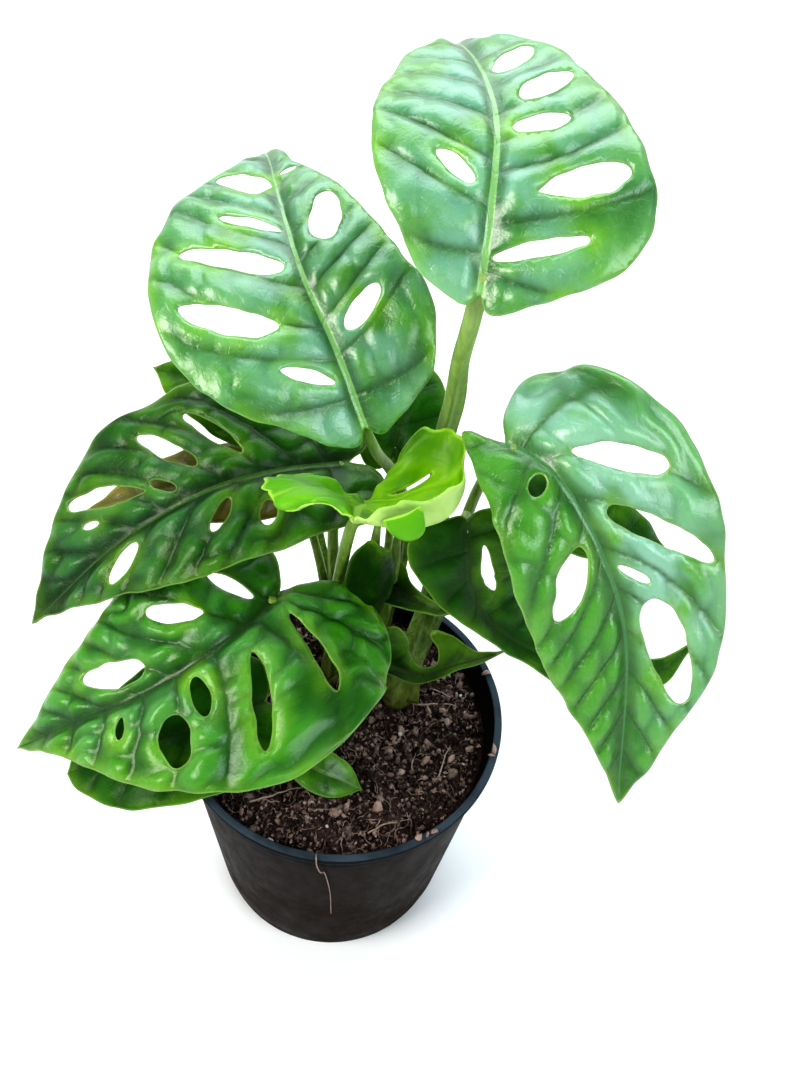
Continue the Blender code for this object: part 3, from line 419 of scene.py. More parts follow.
def spline(points, places):
    """A smooth curve through the points, read at places counted in points."""
    points = np.asarray(points, float)
    last = len(points) - 1
    points = np.vstack([2 * points[0] - points[1], points, 2 * points[-1] - points[-2]])
    places = np.clip(np.asarray(places, float), 0, last)
    start = np.minimum(places.astype(int), last - 1)
    share = (places - start)[..., None]
    a, b, c, d = (points[start + step] for step in range(4))
    cubic = -a + 3 * b - 3 * c + d
    square = 2 * a - 5 * b + 4 * c - d
    return 0.5 * (2 * b + (c - a) * share + square * share**2 + cubic * share**3)


def distances(line):
    """How far along the line each of its points lies."""
    return np.r_[0, np.cumsum(np.linalg.norm(np.diff(line, axis=0), axis=1))]


def read_line(line, along, places):
    """The line's points at the given distances along it."""
    return np.stack([np.interp(places, along, axis) for axis in line.T], -1)


def resampled(points, step):
    """Points about one step apart along the smooth curve through the given points."""
    fine = spline(points, np.linspace(0, len(points) - 1, 24 * len(points)))
    along = distances(fine)
    count = max(3, int(round(along[-1] / step)) + 1)
    return read_line(fine, along, np.linspace(0, along[-1], count))


class Blade:
    """A leaf's surface: it bends flat points (u, v) over the rib."""

    def __init__(self, leaf):
        rib = leaf["rib"]
        self.curve = spline(rib, np.linspace(0, len(rib) - 1, 240))
        self.along = distances(self.curve)
        self.length = self.along[-1]
        self.up = [unit(direction) for direction in leaf["up"]]
        self.fold = np.radians(leaf["fold"])
        self.curl = np.radians(leaf["curl"]) / 10
        self.wave = leaf["wave"]

    def rib_at(self, along):
        return read_line(self.curve, self.along, np.clip(along, 0, self.length))

    def __call__(self, flat):
        u, v = np.asarray(flat, float).T
        near = np.clip(u, 0, self.length)
        ahead = unit(self.rib_at(near + 1.5) - self.rib_at(near - 1.5))
        share = (near / self.length)[..., None]
        up = unit(self.up[0] * (1 - share) + self.up[1] * share)
        side = unit(np.cross(ahead, up))
        normal = np.cross(side, ahead)
        point = self.rib_at(near) + ahead * (u - near)[..., None]
        share = share[..., 0]
        fold = self.fold[0] * (1 - share) + self.fold[1] * share
        curl = self.curl[0] * (1 - share) + self.curl[1] * share
        out = np.abs(v)
        across = (np.sin(fold + curl * out) - np.sin(fold)) / curl
        lift = (np.cos(fold) - np.cos(fold + curl * out)) / curl
        lift = lift + self.wave * np.sin(math.tau * u / WAVE_LENGTH + np.sign(v)) * (out / WAVE_WIDTH) ** 2
        return point + side * (across * np.sign(v))[..., None] + normal * lift[..., None]


class YoungBlade:
    """The young leaf's surface, read from its rows of points."""

    def __init__(self):
        self.rows = np.array(YOUNG_ROWS, float)
        self.length = (len(YOUNG_ROWS) - 1) * YOUNG_CELL
        self.width = (len(YOUNG_ROWS[0]) - 1) / 2 * YOUNG_CELL

    def __call__(self, flat):
        found = []
        for u, v in np.asarray(flat, float):
            across = (self.width - v) / YOUNG_CELL
            line = [spline(row, across) for row in self.rows]
            found.append(spline(line, u / YOUNG_CELL))
        return np.array(found)


def hole_outline(hole, corners):
    """A closed, leaf-shaped hole from its inner end to its outer end."""
    start = np.array(hole[0:2], float)
    end = np.array(hole[2:4], float)
    half_width = hole[4] / 2
    widest = hole[5] if len(hole) > 5 else 0.5
    bend = math.log(0.5) / math.log(widest)
    across = unit([start[1] - end[1], end[0] - start[0]])
    angles = math.tau * np.arange(corners) / corners
    along = ((1 - np.cos(angles)) / 2) ** (1 / bend)
    return start + np.outer(along, end - start) + np.outer(half_width * np.sin(angles), across)


def rough_outline(outline, depth, size, seed):
    """The outline with its points pushed in and out by smooth noise."""
    ahead = unit(np.roll(outline, -1, axis=0) - np.roll(outline, 1, axis=0))
    out = np.c_[ahead[:, 1], -ahead[:, 0]]
    return outline + out * (depth * lumps(outline, size, seed))[:, None]


def inside(points, outline):
    """Which of the flat points lie within the closed outline."""
    x, y = np.asarray(points, float).T
    found = np.zeros(len(x), bool)
    for (x0, y0), (x1, y1) in zip(outline, np.roll(outline, -1, axis=0)):
        if y0 != y1:
            found ^= ((y0 > y) != (y1 > y)) & (x < x0 + (y - y0) * (x1 - x0) / (y1 - y0))
    return found


def distance_to(points, outline):
    """How far each flat point is from the closed outline."""
    nearest = np.full(len(points), np.inf)
    for start, end in zip(outline, np.roll(outline, -1, axis=0)):
        run = end - start
        share = np.clip((points - start) @ run / max(run @ run, 1e-9), 0, 1)
        away = np.linalg.norm(points - start - share[:, None] * run, axis=1)
        nearest = np.minimum(nearest, away)
    return nearest


def plain_sides(length, left, right, lobe):
    """A heart-shaped blade from its length, its two half widths and its base lobes."""
    shape = ((0.13, 0.90), (0.30, 1.00), (0.48, 0.95), (0.66, 0.76), (0.82, 0.45), (0.92, 0.18))
    sides = []
    for width in (left, right):
        side = [(0, 0), (-lobe, 0.22 * width), (-0.8 * lobe, 0.58 * width)]
        side += [(along * length, share * width) for along, share in shape]
        sides.append(side + [(length, 0)])
    return sides


def leaf_outline(leaf, length, step):
    """The flat outline, from the stalk up the right half and back down the left one."""
    scale = 1.0
    if "plain" in leaf:
        left, right = plain_sides(*leaf["plain"])
        scale = length / leaf["plain"][0]
    else:
        left, right = leaf["left"], leaf["right"]
    tip = (length, 0)
    right = [(u * scale, v) for u, v in right if u * scale < length - 1] + [tip]
    left = [(u * scale, -v) for u, v in left if u * scale < length - 1] + [tip]
    return np.vstack([resampled(right, step), resampled(left, step)[-2:0:-1]])


def flat_blade(outline, holes, grid):
    """Flat points, triangles and margin loops of a blade, with its holes left open."""
    low = outline.min(axis=0)
    high = outline.max(axis=0)
    row_step = grid * math.sqrt(3) / 2
    spots = []
    rows = int(max(-low[1], high[1]) / row_step) + 1
    for row in range(-rows, rows + 1):
        shift = grid / 2 if row % 2 else 0
        for u in np.arange(low[0] + shift, high[0], grid):
            spots.append((u, row * row_step))
    spots = np.array(spots)
    keep = inside(spots, outline) & (distance_to(spots, outline) > 0.5 * grid)
    for hole in holes:
        keep &= ~inside(spots, hole) & (distance_to(spots, hole) > 0.45 * grid)
    points = [Vector(point) for loop in [outline, *holes] for point in loop]
    points += [Vector(point) for point in spots[keep]]
    edges = []
    first = 0
    for loop in [outline, *holes]:
        edges += [(first + i, first + (i + 1) % len(loop)) for i in range(len(loop))]
        first += len(loop)
    points, _, faces, *_ = delaunay_2d_cdt(points, edges, [], 0, 1e-5)
    points = np.array([tuple(point) for point in points])
    faces = np.array([tuple(face) for face in faces])
    centres = points[faces].mean(axis=1)
    wanted = inside(centres, outline)
    for hole in holes:
        wanted &= ~inside(centres, hole)
    return points, faces[wanted]


def used_only(points, faces):
    """The points that the triangles use, and the triangles counted over again."""
    kept, faces_again = np.unique(faces, return_inverse=True)
    return points[kept], faces_again.reshape(-1, 3)


def sheet_normals(points, faces):
    """The smooth normal at each point of a sheet of triangles."""
    corners = points[faces]
    face = np.cross(corners[:, 1] - corners[:, 0], corners[:, 2] - corners[:, 0])
    total = np.zeros_like(points)
    for corner in range(3):
        np.add.at(total, faces[:, corner], face)
    return unit(total)


def open_edges(faces):
    """The sheet's margin edges, each in the direction of its triangle."""
    sides = np.vstack([faces[:, [0, 1]], faces[:, [1, 2]], faces[:, [2, 0]]])
    _, index, count = np.unique(np.sort(sides, axis=1), axis=0, return_inverse=True, return_counts=True)
    return sides[count[index.reshape(-1)] == 1]


def side_vein_lanes(flat, length, holes, sweeps):
    """Which gap between two side veins each point lies in; whole numbers are the veins.

    Side veins leave the rib backwards at the base and ever more forwards to the tip,
    and sweep on towards the tip as they run out. Holes lie between two of them.
    """
    u, v = flat.T
    out = np.abs(v)
    start = u.copy()
    sweep = np.where(v >= 0, sweeps[0], sweeps[1])
    for _ in range(12):
        share = np.clip(start / length, -0.1, 1)
        lean = -0.75 + sweep * (1.2 * (1 - np.exp(-np.maximum(share, 0) / 0.08)) + 0.65 * share**2)
        start = 0.5 * start + 0.5 * (u - out * lean - 0.006 * sweep * out**2)
    lanes = np.zeros(len(u))
    for side in (1, -1):
        knots = [(-20.0, -1.5), (0.0, 0.15)]
        for hole in sorted(holes, key=lambda hole: hole[0]):
            if hole[4] > 3 and side * (hole[1] + hole[3]) > 0:
                lane = max(math.floor(knots[-1][1]) + 1.5, round(hole[0] / VEIN_STEP) + 0.5)
                if hole[0] > knots[-1][0] + 4:
                    knots.append((float(hole[0]), lane))
        knots.append((length, max(knots[-1][1] + 1.2, length / VEIN_STEP)))
        chosen = np.sign(v) == side if side < 0 else v >= 0
        lanes[chosen] = np.interp(start[chosen], *np.array(knots).T)
    return lanes


def quilting(flat, lanes, length, leaf):
    """How high the blade swells between its veins, from 0 in a vein to 1."""
    u, v = flat.T
    out = np.abs(v)
    seed = leaf["seed"]
    lane = np.floor(lanes)
    inside_lane = lanes - lane
    across = np.sin(math.pi * inside_lane**0.85) ** 0.7
    phase = scatter(lane, np.sign(v), np.full(len(u), seed))
    cell = 8 + 5 * scatter(lane + 5, np.sign(v), np.full(len(u), seed))
    pillows = 0.5 + 0.5 * np.cos(math.tau * (out / cell + phase + 0.7 * lumps(flat, 9, seed)))
    pillows = pillows**0.7 * (1 + 0.35 * lumps(flat, 12, seed, 9))
    near_rib = smooth(0.5, 5, out)
    near_tip = 1 - smooth(0.86, 1.0, u / length)
    return across * (1 - leaf["pillow"] * (1 - pillows)) * near_rib * near_tip


def add_object(name, data):
    """A new object in the scene."""
    made = bpy.data.objects.new(name, data)
    bpy.context.scene.collection.objects.link(made)
    return made


def mesh_object(name, points, faces, smooth_shaded=True):
    """A mesh from points in mm."""
    mesh = bpy.data.meshes.new(name)
    mesh.from_pydata((np.asarray(points) * MM).tolist(), [], [list(map(int, face)) for face in faces])
    mesh.update()
    if smooth_shaded:
        mesh.shade_smooth()
    return add_object(name, mesh)


def keep_values(made, **values):
    """Numbers or places, one for each point, that the materials read by name."""
    for name, numbers in values.items():
        numbers = np.asarray(numbers, np.float32)
        kind, field = ("FLOAT", "value") if numbers.ndim == 1 else ("FLOAT_VECTOR", "vector")
        layer = made.data.attributes.new(name, kind, "POINT")
        layer.data.foreach_set(field, numbers.ravel())


def leaf_piece(name, leaf, surface, outline, holes, grid):
    """One detailed leaf: quilted between its veins, grooved above its rib and ribbed below."""
    flat, faces = flat_blade(outline, holes, grid)
    flat, faces = used_only(flat, faces[:, ::-1])
    u, v = flat.T
    out = np.abs(v)
    lanes = side_vein_lanes(flat, surface.length, leaf["holes"], leaf["sweeps"])
    swell = quilting(flat, lanes, surface.length, leaf)
    rim = distance_to(flat, outline)
    for hole in holes:
        rim = np.minimum(rim, distance_to(flat, hole))
    base = surface(flat)
    share = np.clip(u / surface.length, 0, 1)
    ripple = lumps(flat, 16, leaf["seed"] + 3)
    ruffle = lumps(flat, 7, leaf["seed"] + 6) * (1 - smooth(0, 9, rim))
    height = leaf["swell"] * (swell - 0.35) * smooth(0, 3.5, rim)
    height = height + 0.5 * ripple * smooth(2, 14, out) + leaf["ruffle"] * ruffle
    height = height - GROOVE_DEPTH * np.exp(-((out / GROOVE_WIDTH) ** 2)) * (1 - 0.6 * share)
    middle = base + sheet_normals(base, faces) * height[:, None]
    normals = sheet_normals(middle, faces)
    half = np.where(rim < 0.05, HALF_RIM, HALF_THICKNESS)
    keel = KEEL_DEPTH * np.exp(-((out / KEEL_WIDTH) ** 2)) * (1 - 0.75 * share)
    upper = middle + normals * half[:, None]
    lower = middle - normals * (half + keel)[:, None]
    count = len(flat)
    sides = []
    for start, end in open_edges(faces):
        sides.append((start, start + count, end + count))
        sides.append((start, end + count, end))
    all_faces = np.vstack([faces, faces[:, ::-1] + count, np.array(sides)])
    made = mesh_object(name, np.vstack([upper, lower]), all_faces)
    both_sides = dict(lane=lanes, swell=swell, rim=np.minimum(rim, 20), share=share)
    keep_values(made, **{kept: np.tile(numbers, 2) for kept, numbers in both_sides.items()})
    places = np.tile(np.c_[flat, np.zeros(count)], (2, 1))
    keep_values(made, underside=np.repeat([0, 1], count), flat_place=places)
    return made


class Paint:
    """Builds one material's nodes; from node on, each method gives the socket that it makes."""

    def __init__(self, name):
        self.material = bpy.data.materials.new(name)
        self.material.use_nodes = True
        self.tree = self.material.node_tree
        self.shader = self.tree.nodes["Principled BSDF"]

    def put(self, socket, value):
        if isinstance(value, bpy.types.NodeSocket):
            self.tree.links.new(value, socket)
        elif socket.type == "RGBA":
            socket.default_value = (*value, 1)
        else:
            socket.default_value = value

    def set(self, **values):
        for name, value in values.items():
            self.put(self.shader.inputs[name.replace("_", " ")], value)

    def node(self, kind, output, inputs, **settings):
        made = self.tree.nodes.new("ShaderNode" + kind)
        for name, value in settings.items():
            setattr(made, name, value)
        for name, value in inputs.items():
            self.put(made.inputs[name], value)
        return made.outputs[output]

    def value(self, name):
        return self.node("Attribute", "Fac", {}, attribute_name=name)

    def place(self):
        """Where a point lies on the object, in metres."""
        return self.node("TexCoord", "Object", {})

    def flat_place(self):
        """Where a point lies on its flat leaf, in millimetres."""
        return self.node("Attribute", "Vector", {}, attribute_name="flat_place")

    def part(self, place, axis):
        return self.node("SeparateXYZ", axis, {"Vector": place})

    def math(self, operation, first, second=0.0, clamp=False):
        return self.node("Math", 0, {0: first, 1: second}, operation=operation, use_clamp=clamp)

    def plus(self, first, second):
        return self.math("ADD", first, second)

    def minus(self, first, second):
        return self.math("SUBTRACT", first, second)

    def times(self, first, *others):
        for other in others:
            first = self.math("MULTIPLY", first, other)
        return first

    def span(self, value, low, high, start=0.0, end=1.0):
        """A smooth step from start at low to end at high."""
        inputs = {"Value": value, "From Min": low, "From Max": high, "To Min": start, "To Max": end}
        return self.node("MapRange", "Result", inputs, interpolation_type="SMOOTHSTEP")

    def layers(self, colour, *layers):
        """The colour under layers, each given as where it lies, how strongly, and its colour."""
        for where, strength, layer in layers:
            share = where if strength == 1 else self.times(where, strength)
            colour = self.node("Mix", 2, {0: share, 6: colour, 7: layer}, data_type="RGBA")
        return colour

    def noise(self, place, size, detail=3.0, rough=0.55, stretch=None):
        if stretch:
            place = self.node("Mapping", 0, {"Vector": place, "Scale": stretch})
        inputs = {"Vector": place, "Scale": 1 / size, "Detail": detail, "Roughness": rough}
        return self.node("TexNoise", "Fac", inputs)

    def net(self, place, size, width):
        """Thin lines between cells."""
        inputs = {"Vector": place, "Scale": 1 / size}
        edge = self.node("TexVoronoi", "Distance", inputs, feature="DISTANCE_TO_EDGE")
        return self.span(edge, width, 0.0)

    def side_veins(self, width):
        """The lines where a leaf's lanes are whole numbers."""
        lane = self.value("lane")
        return self.span(self.math("ABSOLUTE", self.minus(lane, self.math("ROUND", lane))), width, 0.0)

    def relief(self, height, depth):
        """A bump of the given depth in mm."""
        return self.node("Bump", "Normal", {"Height": height, "Distance": depth * MM, "Strength": 1.0})


def leaf_paint(name, look):
    """A glossy leaf: painted light on swells, painted shade in veins, thin rib line, painted pale lit rim,
    painted bluish sheen, mottling.
    """
    paint = Paint(name)
    place = paint.flat_place()
    swell, rim, share, under = [paint.value(kept) for kept in ("swell", "rim", "share", "underside")]
    side = paint.part(place, "Y")
    out = paint.math("ABSOLUTE", side)
    broad = paint.noise(place, 26, 2)
    middle = paint.noise(place, 7, 4, 0.6)
    fine = paint.noise(place, 1.1, 3, 0.6)
    soft = paint.noise(place, 19, 3)
    # Painted shade and light: the colour runs from deep in the valleys between the swells to bright on
    # their tops, over random tone.
    painted_valley_shade = 0.5 * look["painted_valley_shade"]
    painted_swell_shading = paint.span(swell, 0, 1, 0.37 - painted_valley_shade, 0.37 + painted_valley_shade)
    tone = paint.plus(paint.plus(painted_swell_shading, paint.times(middle, 0.5)), paint.times(fine, 0.12))
    warm = paint.times(paint.span(broad, 0.5, 0.72), paint.span(middle, 0.3, 0.7))
    near_rim = paint.times(paint.span(rim, 6, 0), paint.span(broad, 0.35, 0.6))
    # Darker lines along the side veins: partly the veins' own colour, partly painted shade in their
    # grooves.
    vein = paint.times(paint.side_veins(0.09), paint.span(out, 30, 8, 0.35, 1), paint.span(rim, 0.5, 4))
    net = paint.net(place, 3.4, 0.09)
    # A painted sheen: pale bluish colour in broad patches on the swells, by one side of the rib and fading
    # along it, in place of reflected sky light.
    painted_sheen = paint.times(
        paint.span(soft, *look["painted_sheen_cover"]),
        paint.span(out, 40, 5, 0.3, 1),
        paint.span(side, *look["painted_sheen_side"]),
        paint.span(share, *look["painted_sheen_reach"]),
        paint.span(swell, 0.1, 0.65, 0.25, 1),
    )
    half_rib = paint.span(share, 0, 1, look["rib_width"], 0.25)
    rib = paint.span(paint.math("DIVIDE", out, half_rib), 1.0, 0.72)
    above = paint.layers(
        look["deep"],
        (paint.span(tone, 0.1, 0.5), 1, look["green"]),
        (paint.span(tone, 0.5, 1.1, 0, 0.9), 1, look["bright"]),
        (warm, look["mottle"], look["yellow"]),
        (near_rim, look["rim_yellow"], look["yellow"]),
        (vein, look["vein"], look["vein_colour"]),
        (net, look["net"], look["vein_colour"]),
        (painted_sheen, look["painted_sheen"], look["painted_sheen_colour"]),
        (rib, look["rib"], look["rib_colour"]),
        # A painted lit rim: paler colour in the last fraction of a millimetre at the margin and the holes.
        (paint.span(rim, 0.65, 0.25), 0.4, look["painted_rim_light"]),
    )
    below = paint.layers(
        look["under_dark"],
        (paint.span(middle, 0.2, 0.8), 1, look["under"]),
        (paint.math("MAXIMUM", rib, vein), 0.5, look["rib_colour"]),
    )
    rough = paint.span(middle, 0.2, 0.8, look["rough"] - 0.05, look["rough"] + 0.09)
    rough = paint.plus(rough, paint.times(under, 0.2))
    height = paint.minus(paint.times(fine, 0.45), paint.times(vein, 0.45))
    height = paint.minus(height, paint.times(net, 0.12))
    height = paint.plus(height, paint.times(middle, 1.6))
    paint.set(Base_Color=paint.layers(above, (under, 1, below)), Roughness=rough)
    paint.set(Normal=paint.relief(height, look["relief"]), Specular_IOR_Level=look["gloss"])
    paint.set(Coat_Weight=look["coat"], Coat_Roughness=LEAF_COAT_ROUGHNESS)
    return paint.material


def tube_faces(rings, sides, inward=False):
    """Faces over rings of points, closed by two end points that come after the rings."""
    faces = []
    for low in range(0, (rings - 1) * sides, sides):
        for corner in range(sides):
            after = (corner + 1) % sides
            faces.append((low + corner, low + after, low + sides + after, low + sides + corner))
    first = rings * sides
    top = first - sides
    for corner in range(sides):
        after = (corner + 1) % sides
        faces.append((first, after, corner))
        faces.append((first + 1, top + corner, top + after))
    return [(face[0], *face[:0:-1]) for face in faces] if inward else faces


def rounded_tube(line, radii, sides, wings=None, facing=(0.45, -0.85, 0.25)):
    """A closed tube along a line; wings are two thin ridges with a channel between them."""
    line = np.asarray(line, float)
    ahead = unit(np.gradient(line, axis=0))
    angles = math.tau * np.arange(sides) / sides
    points = []
    for ring in range(len(line)):
        first = unit(np.asarray(facing) - ahead[ring] * (np.asarray(facing) @ ahead[ring]))
        second = np.cross(ahead[ring], first)
        reach = np.full(sides, radii[ring])
        if wings is not None:
            offset = (angles + math.pi) % math.tau - math.pi
            ridges = np.exp(-(((np.abs(offset) - 0.62) / 0.2) ** 2))
            channel = np.exp(-((offset / 0.4) ** 2))
            reach = reach * (1 + wings[ring] * (0.42 * ridges - 0.3 * channel))
        spokes = np.outer(np.cos(angles), first) + np.outer(np.sin(angles), second)
        points.append(line[ring] + spokes * reach[:, None])
    points = np.vstack([*points, line[:1], line[-1:]])
    lengths = distances(line)
    along = np.r_[np.repeat(lengths, sides), 0, lengths[-1]]
    return points, tube_faces(len(line), sides), along


def joined_mesh(name, pieces, tints=()):
    """One object from several (points, faces, along) pieces, each with its own tint."""
    points, faces, along = [], [], []
    first = 0
    for piece_points, piece_faces, piece_along in pieces:
        points.append(piece_points)
        faces += [tuple(corner + first for corner in face) for face in piece_faces]
        along.append(piece_along)
        first += len(piece_points)
    made = mesh_object(name, np.vstack(points), faces)
    keep_values(made, along=np.concatenate(along))
    if tints:
        keep_values(made, tint=np.repeat(tints, [len(part) for part in points]))
    return made


def seat_under(surface):
    """Where a stalk meets its blade, and the direction that it arrives in."""
    spots = np.array([(2.6, 0), (3.6, 0), (2.6, 1), (2.6, -1)])
    centre, ahead, right, left = surface(spots)
    return centre, unit(np.cross(right - left, ahead - centre))


def stalk_piece(leaf, route, low_radius, high_radius, surface):
    """One stalk: swollen at its foot, sheathed low down, and kneed under its blade."""
    centre, normal = seat_under(surface)
    end = centre - normal * STALK_GAP
    bend = end - normal * STALK_END
    count = 12 * len(route) + 16
    line = spline([*route, bend, end], np.linspace(0, len(route) + 1, count))
    lengths = distances(line)
    whole = lengths[-1]
    share = lengths / whole
    radii = low_radius + (high_radius - low_radius) * share
    radii = radii * (1 + 0.3 * np.exp(-((lengths / 9) ** 2)))
    radii = radii * (1 + STALK_SWELLS.get(leaf, 0) * np.exp(-((lengths / 26) ** 2)))
    knee = min(9.0, 0.2 * whole)
    radii = radii * (1 + 0.16 * np.exp(-(((whole - lengths - 0.55 * knee) / (0.42 * knee)) ** 2)))
    wobble = lumps(line, 22, len(leaf))
    line = line + np.c_[wobble, -wobble, np.zeros(count)] * (0.35 * np.sin(math.pi * share))[:, None]
    sheath = SHEATHS.get(leaf, SHEATHED)
    wings = 1 - smooth(sheath - 0.12, sheath + 0.02, share)
    return rounded_tube(line, radii, STALK_SIDES, wings)


def shoot_pieces(shoot, surfaces):
    """A stem's foot with its old leaf scars, and all its stalks."""
    heights = np.linspace(SOIL_LEVEL - 6, SOIL_LEVEL + 13, 26)
    rise = smooth(SOIL_LEVEL + 4, SOIL_LEVEL + 13, heights)
    rings = 0.1 * np.exp(-(((heights - SOIL_LEVEL - 3.5) / 0.7) ** 2))
    radii = shoot["radius"] * (1 - 0.35 * rise + rings)
    radii[-1] *= 0.55
    line = [(*shoot["foot"], height) for height in heights]
    pieces = [rounded_tube(line, radii, STALK_SIDES)]
    for leaf, (route, low_radius, high_radius) in shoot["stalks"].items():
        pieces.append(stalk_piece(leaf, route, low_radius, high_radius, surfaces[leaf]))
    return pieces


def sheet_piece(name, rows, half, count):
    """A thin closed sheet through rows of points, with the same numbers as a leaf's."""
    rows = np.array(rows, float)
    places = np.linspace(0, rows.shape[1] - 1, count)
    lines = np.array([spline(row, places) for row in rows])
    steps = np.linspace(0, len(rows) - 1, count)
    grid = np.array([spline(lines[:, column], steps) for column in range(count)])
    normals = unit(np.cross(np.gradient(grid, axis=1), np.gradient(grid, axis=0))).reshape(-1, 3)
    middle = grid.reshape(-1, 3)
    steps_in = np.minimum(np.arange(count), np.arange(count)[::-1])
    inner = np.minimum.outer(steps_in, steps_in).ravel()
    rim = inner * np.linalg.norm(rows[0, 0] - rows[-1, -1]) / count
    thick = half * smooth(-1.0, 2.0, inner)[:, None]
    points = np.vstack([middle + normals * thick, middle - normals * thick])
    total = count * count
    index = np.arange(total).reshape(count, count)
    faces = []
    for low in index[:-1, :-1].ravel():
        faces.append((low, low + 1, low + count + 1, low + count))
        faces.append((total + low, total + low + count, total + low + count + 1, total + low + 1))
    edge = [*index[0], *index[1:, -1], *index[-1, -2::-1], *index[-2:0:-1, 0]]
    for start, end in zip(edge, edge[1:] + edge[:1]):
        faces.append((start, start + total, end + total, end))
    made = mesh_object(name, points, faces)
    level = np.full(2 * total, 0.5)
    places = np.c_[points[:, [0, 2]] + (0, 8), np.zeros(2 * total)]
    keep_values(made, lane=level, swell=level, share=level, rim=np.tile(rim, 2), flat_place=places,
                underside=np.repeat([0, 1], total), along=points[:, 2] - SOIL_LEVEL)
    return made


def turned_mesh(name, outline, sides, uneven):
    """An outline with both ends on the axis, turned about Z, slightly out of true."""
    angles = math.tau * np.arange(sides) / sides
    points = []
    for radius, height in outline[1:-1]:
        wander = uneven * (np.sin(2 * angles + 0.7) + 0.5 * np.sin(3 * angles + height / 40))
        reach = radius + wander * min(1.0, radius / 40)
        points.append(np.c_[reach * np.cos(angles), reach * np.sin(angles), np.full(sides, height)])
    points = np.vstack([*points, [[0, 0, outline[0][1]]], [[0, 0, outline[-1][1]]]])
    return mesh_object(name, points, tube_faces(len(outline) - 2, sides, True))


def arc(centre, radius, start, end, count):
    """Points on part of a circle in the pot's section, with angles in degrees."""
    angles = np.radians(np.linspace(start, end, count))
    return [(centre[0] + radius * math.cos(a), centre[1] + radius * math.sin(a)) for a in angles]


def pot_section():
    """Half the pot's section, from the inner floor over the rolled lip to the base."""
    inner = [(0, 1.6), (20, 1.6), (40, 1.6), (43.6, 1.8), (44.6, 2.8)]
    inner += [(44.8 + 10.6 * share, 3 + 95.5 * share) for share in np.linspace(0.04, 1, 14)]
    inner += [(56.2, 100.0), (56.7, 101.0), (57.0, 104), (57.2, 108.6)]
    lip = arc((57.9, 109.2), 0.8, 180, 90, 5) + arc((59.2, 109.2), 0.8, 90, 0, 5)
    lip += [(60.0, 108.6), (60.0, 107.6)] + arc((59.4, 107.4), 0.55, 0, -80, 4)
    collar = [(58.7, 106.9), (58.45, 106.5), (58.4, 105.5), (58.3, 103), (58.2, 101.2)]
    collar += arc((57.6, 100.6), 0.55, 10, -90, 5) + [(57.2, 99.85), (56.95, 99.3), (56.9, 98.6)]
    step = 47.9
    wall = [(56.9 + (step - 56.9) * share, 98 - 88.6 * share) for share in np.linspace(0.03, 1, 22)]
    foot = [(step - 0.15, 8.9), (step - 0.7, 8.4), (step - 0.85, 7.8), (46.6, 2.2), (46.3, 0.9)]
    foot += arc((45.4, 0.8), 0.8, -10, -90, 5) + [(43, 0), (30, 0), (15, 0), (0, 0)]
    return inner + lip + collar + wall + foot


def make_pot():
    """The turned pot with its drain holes cut through the base."""
    pot = turned_mesh("pot_shell", pot_section(), POT_SIDES, POT_UNEVEN)
    drills = bmesh.new()
    for drain in range(DRAINS):
        angle = math.tau * (drain + 0.5) / DRAINS
        place = (DRAIN_CIRCLE * MM * math.cos(angle), DRAIN_CIRCLE * MM * math.sin(angle), 0)
        bmesh.ops.create_cone(drills, cap_ends=True, segments=24, radius1=DRAIN_RADIUS * MM,
                              radius2=DRAIN_RADIUS * MM, depth=DRAIN_DEPTH * MM,
                              matrix=Matrix.Translation(place))
    mesh = bpy.data.meshes.new("drains")
    drills.to_mesh(mesh)
    drills.free()
    cutter = add_object("drains", mesh)
    cut = pot.modifiers.new("drains", "BOOLEAN")
    cut.operation = "DIFFERENCE"
    cut.solver = "EXACT"
    cut.object = cutter
    bpy.context.view_layer.update()
    finished = bpy.data.meshes.new_from_object(pot.evaluated_get(bpy.context.evaluated_depsgraph_get()))
    pot.modifiers.clear()
    pot.data = finished
    bpy.data.objects.remove(cutter)
    finished.shade_smooth()
    finished.set_sharp_from_angle(angle=math.radians(40))
    return pot


def soil_top(x, y):
    """The soil's height at each place: low mounds, clods and grit, lower at the wall."""
    flat = np.c_[x, y]
    height = 1.3 * lumps(flat, 17, 0) + 1.0 * lumps(flat, 7, 2) + 1.5 * np.abs(lumps(flat, 3.2, 4))
    height = height + 0.8 * lumps(flat, 1.5, 6) - 0.3
    for shoot in SHOOTS.values():
        away = np.hypot(x - shoot["foot"][0], y - shoot["foot"][1])
        height = height + 1.2 * np.exp(-((away / 9) ** 2))
    return SOIL_LEVEL - 0.9 + height - 2.4 * smooth(44, 56, np.hypot(x, y))


def soil_height(x, y):
    """The soil's height at one place."""
    return soil_top(np.array([x]), np.array([y]))[0]


def make_soil():
    """The root ball: a rough top and a plain body inside the pot."""
    radii = SOIL_RADIUS * (np.arange(1, SOIL_RINGS + 1) / SOIL_RINGS) ** 0.85
    angles = math.tau * np.arange(SOIL_SIDES) / SOIL_SIDES
    x = np.outer(radii, np.cos(angles)).ravel()
    y = np.outer(radii, np.sin(angles)).ravel()
    top = np.c_[x, y, soil_top(x, y)]
    foot = np.c_[SOIL_FOOT_RADIUS * np.cos(angles), SOIL_FOOT_RADIUS * np.sin(angles),
                 np.full(SOIL_SIDES, SOIL_FOOT)]
    ends = [(0, 0, soil_height(0.0, 0.0)), (0, 0, SOIL_FOOT)]
    faces = tube_faces(SOIL_RINGS + 1, SOIL_SIDES, True)
    return mesh_object("soil_ball", np.vstack([top, foot, ends]), faces)


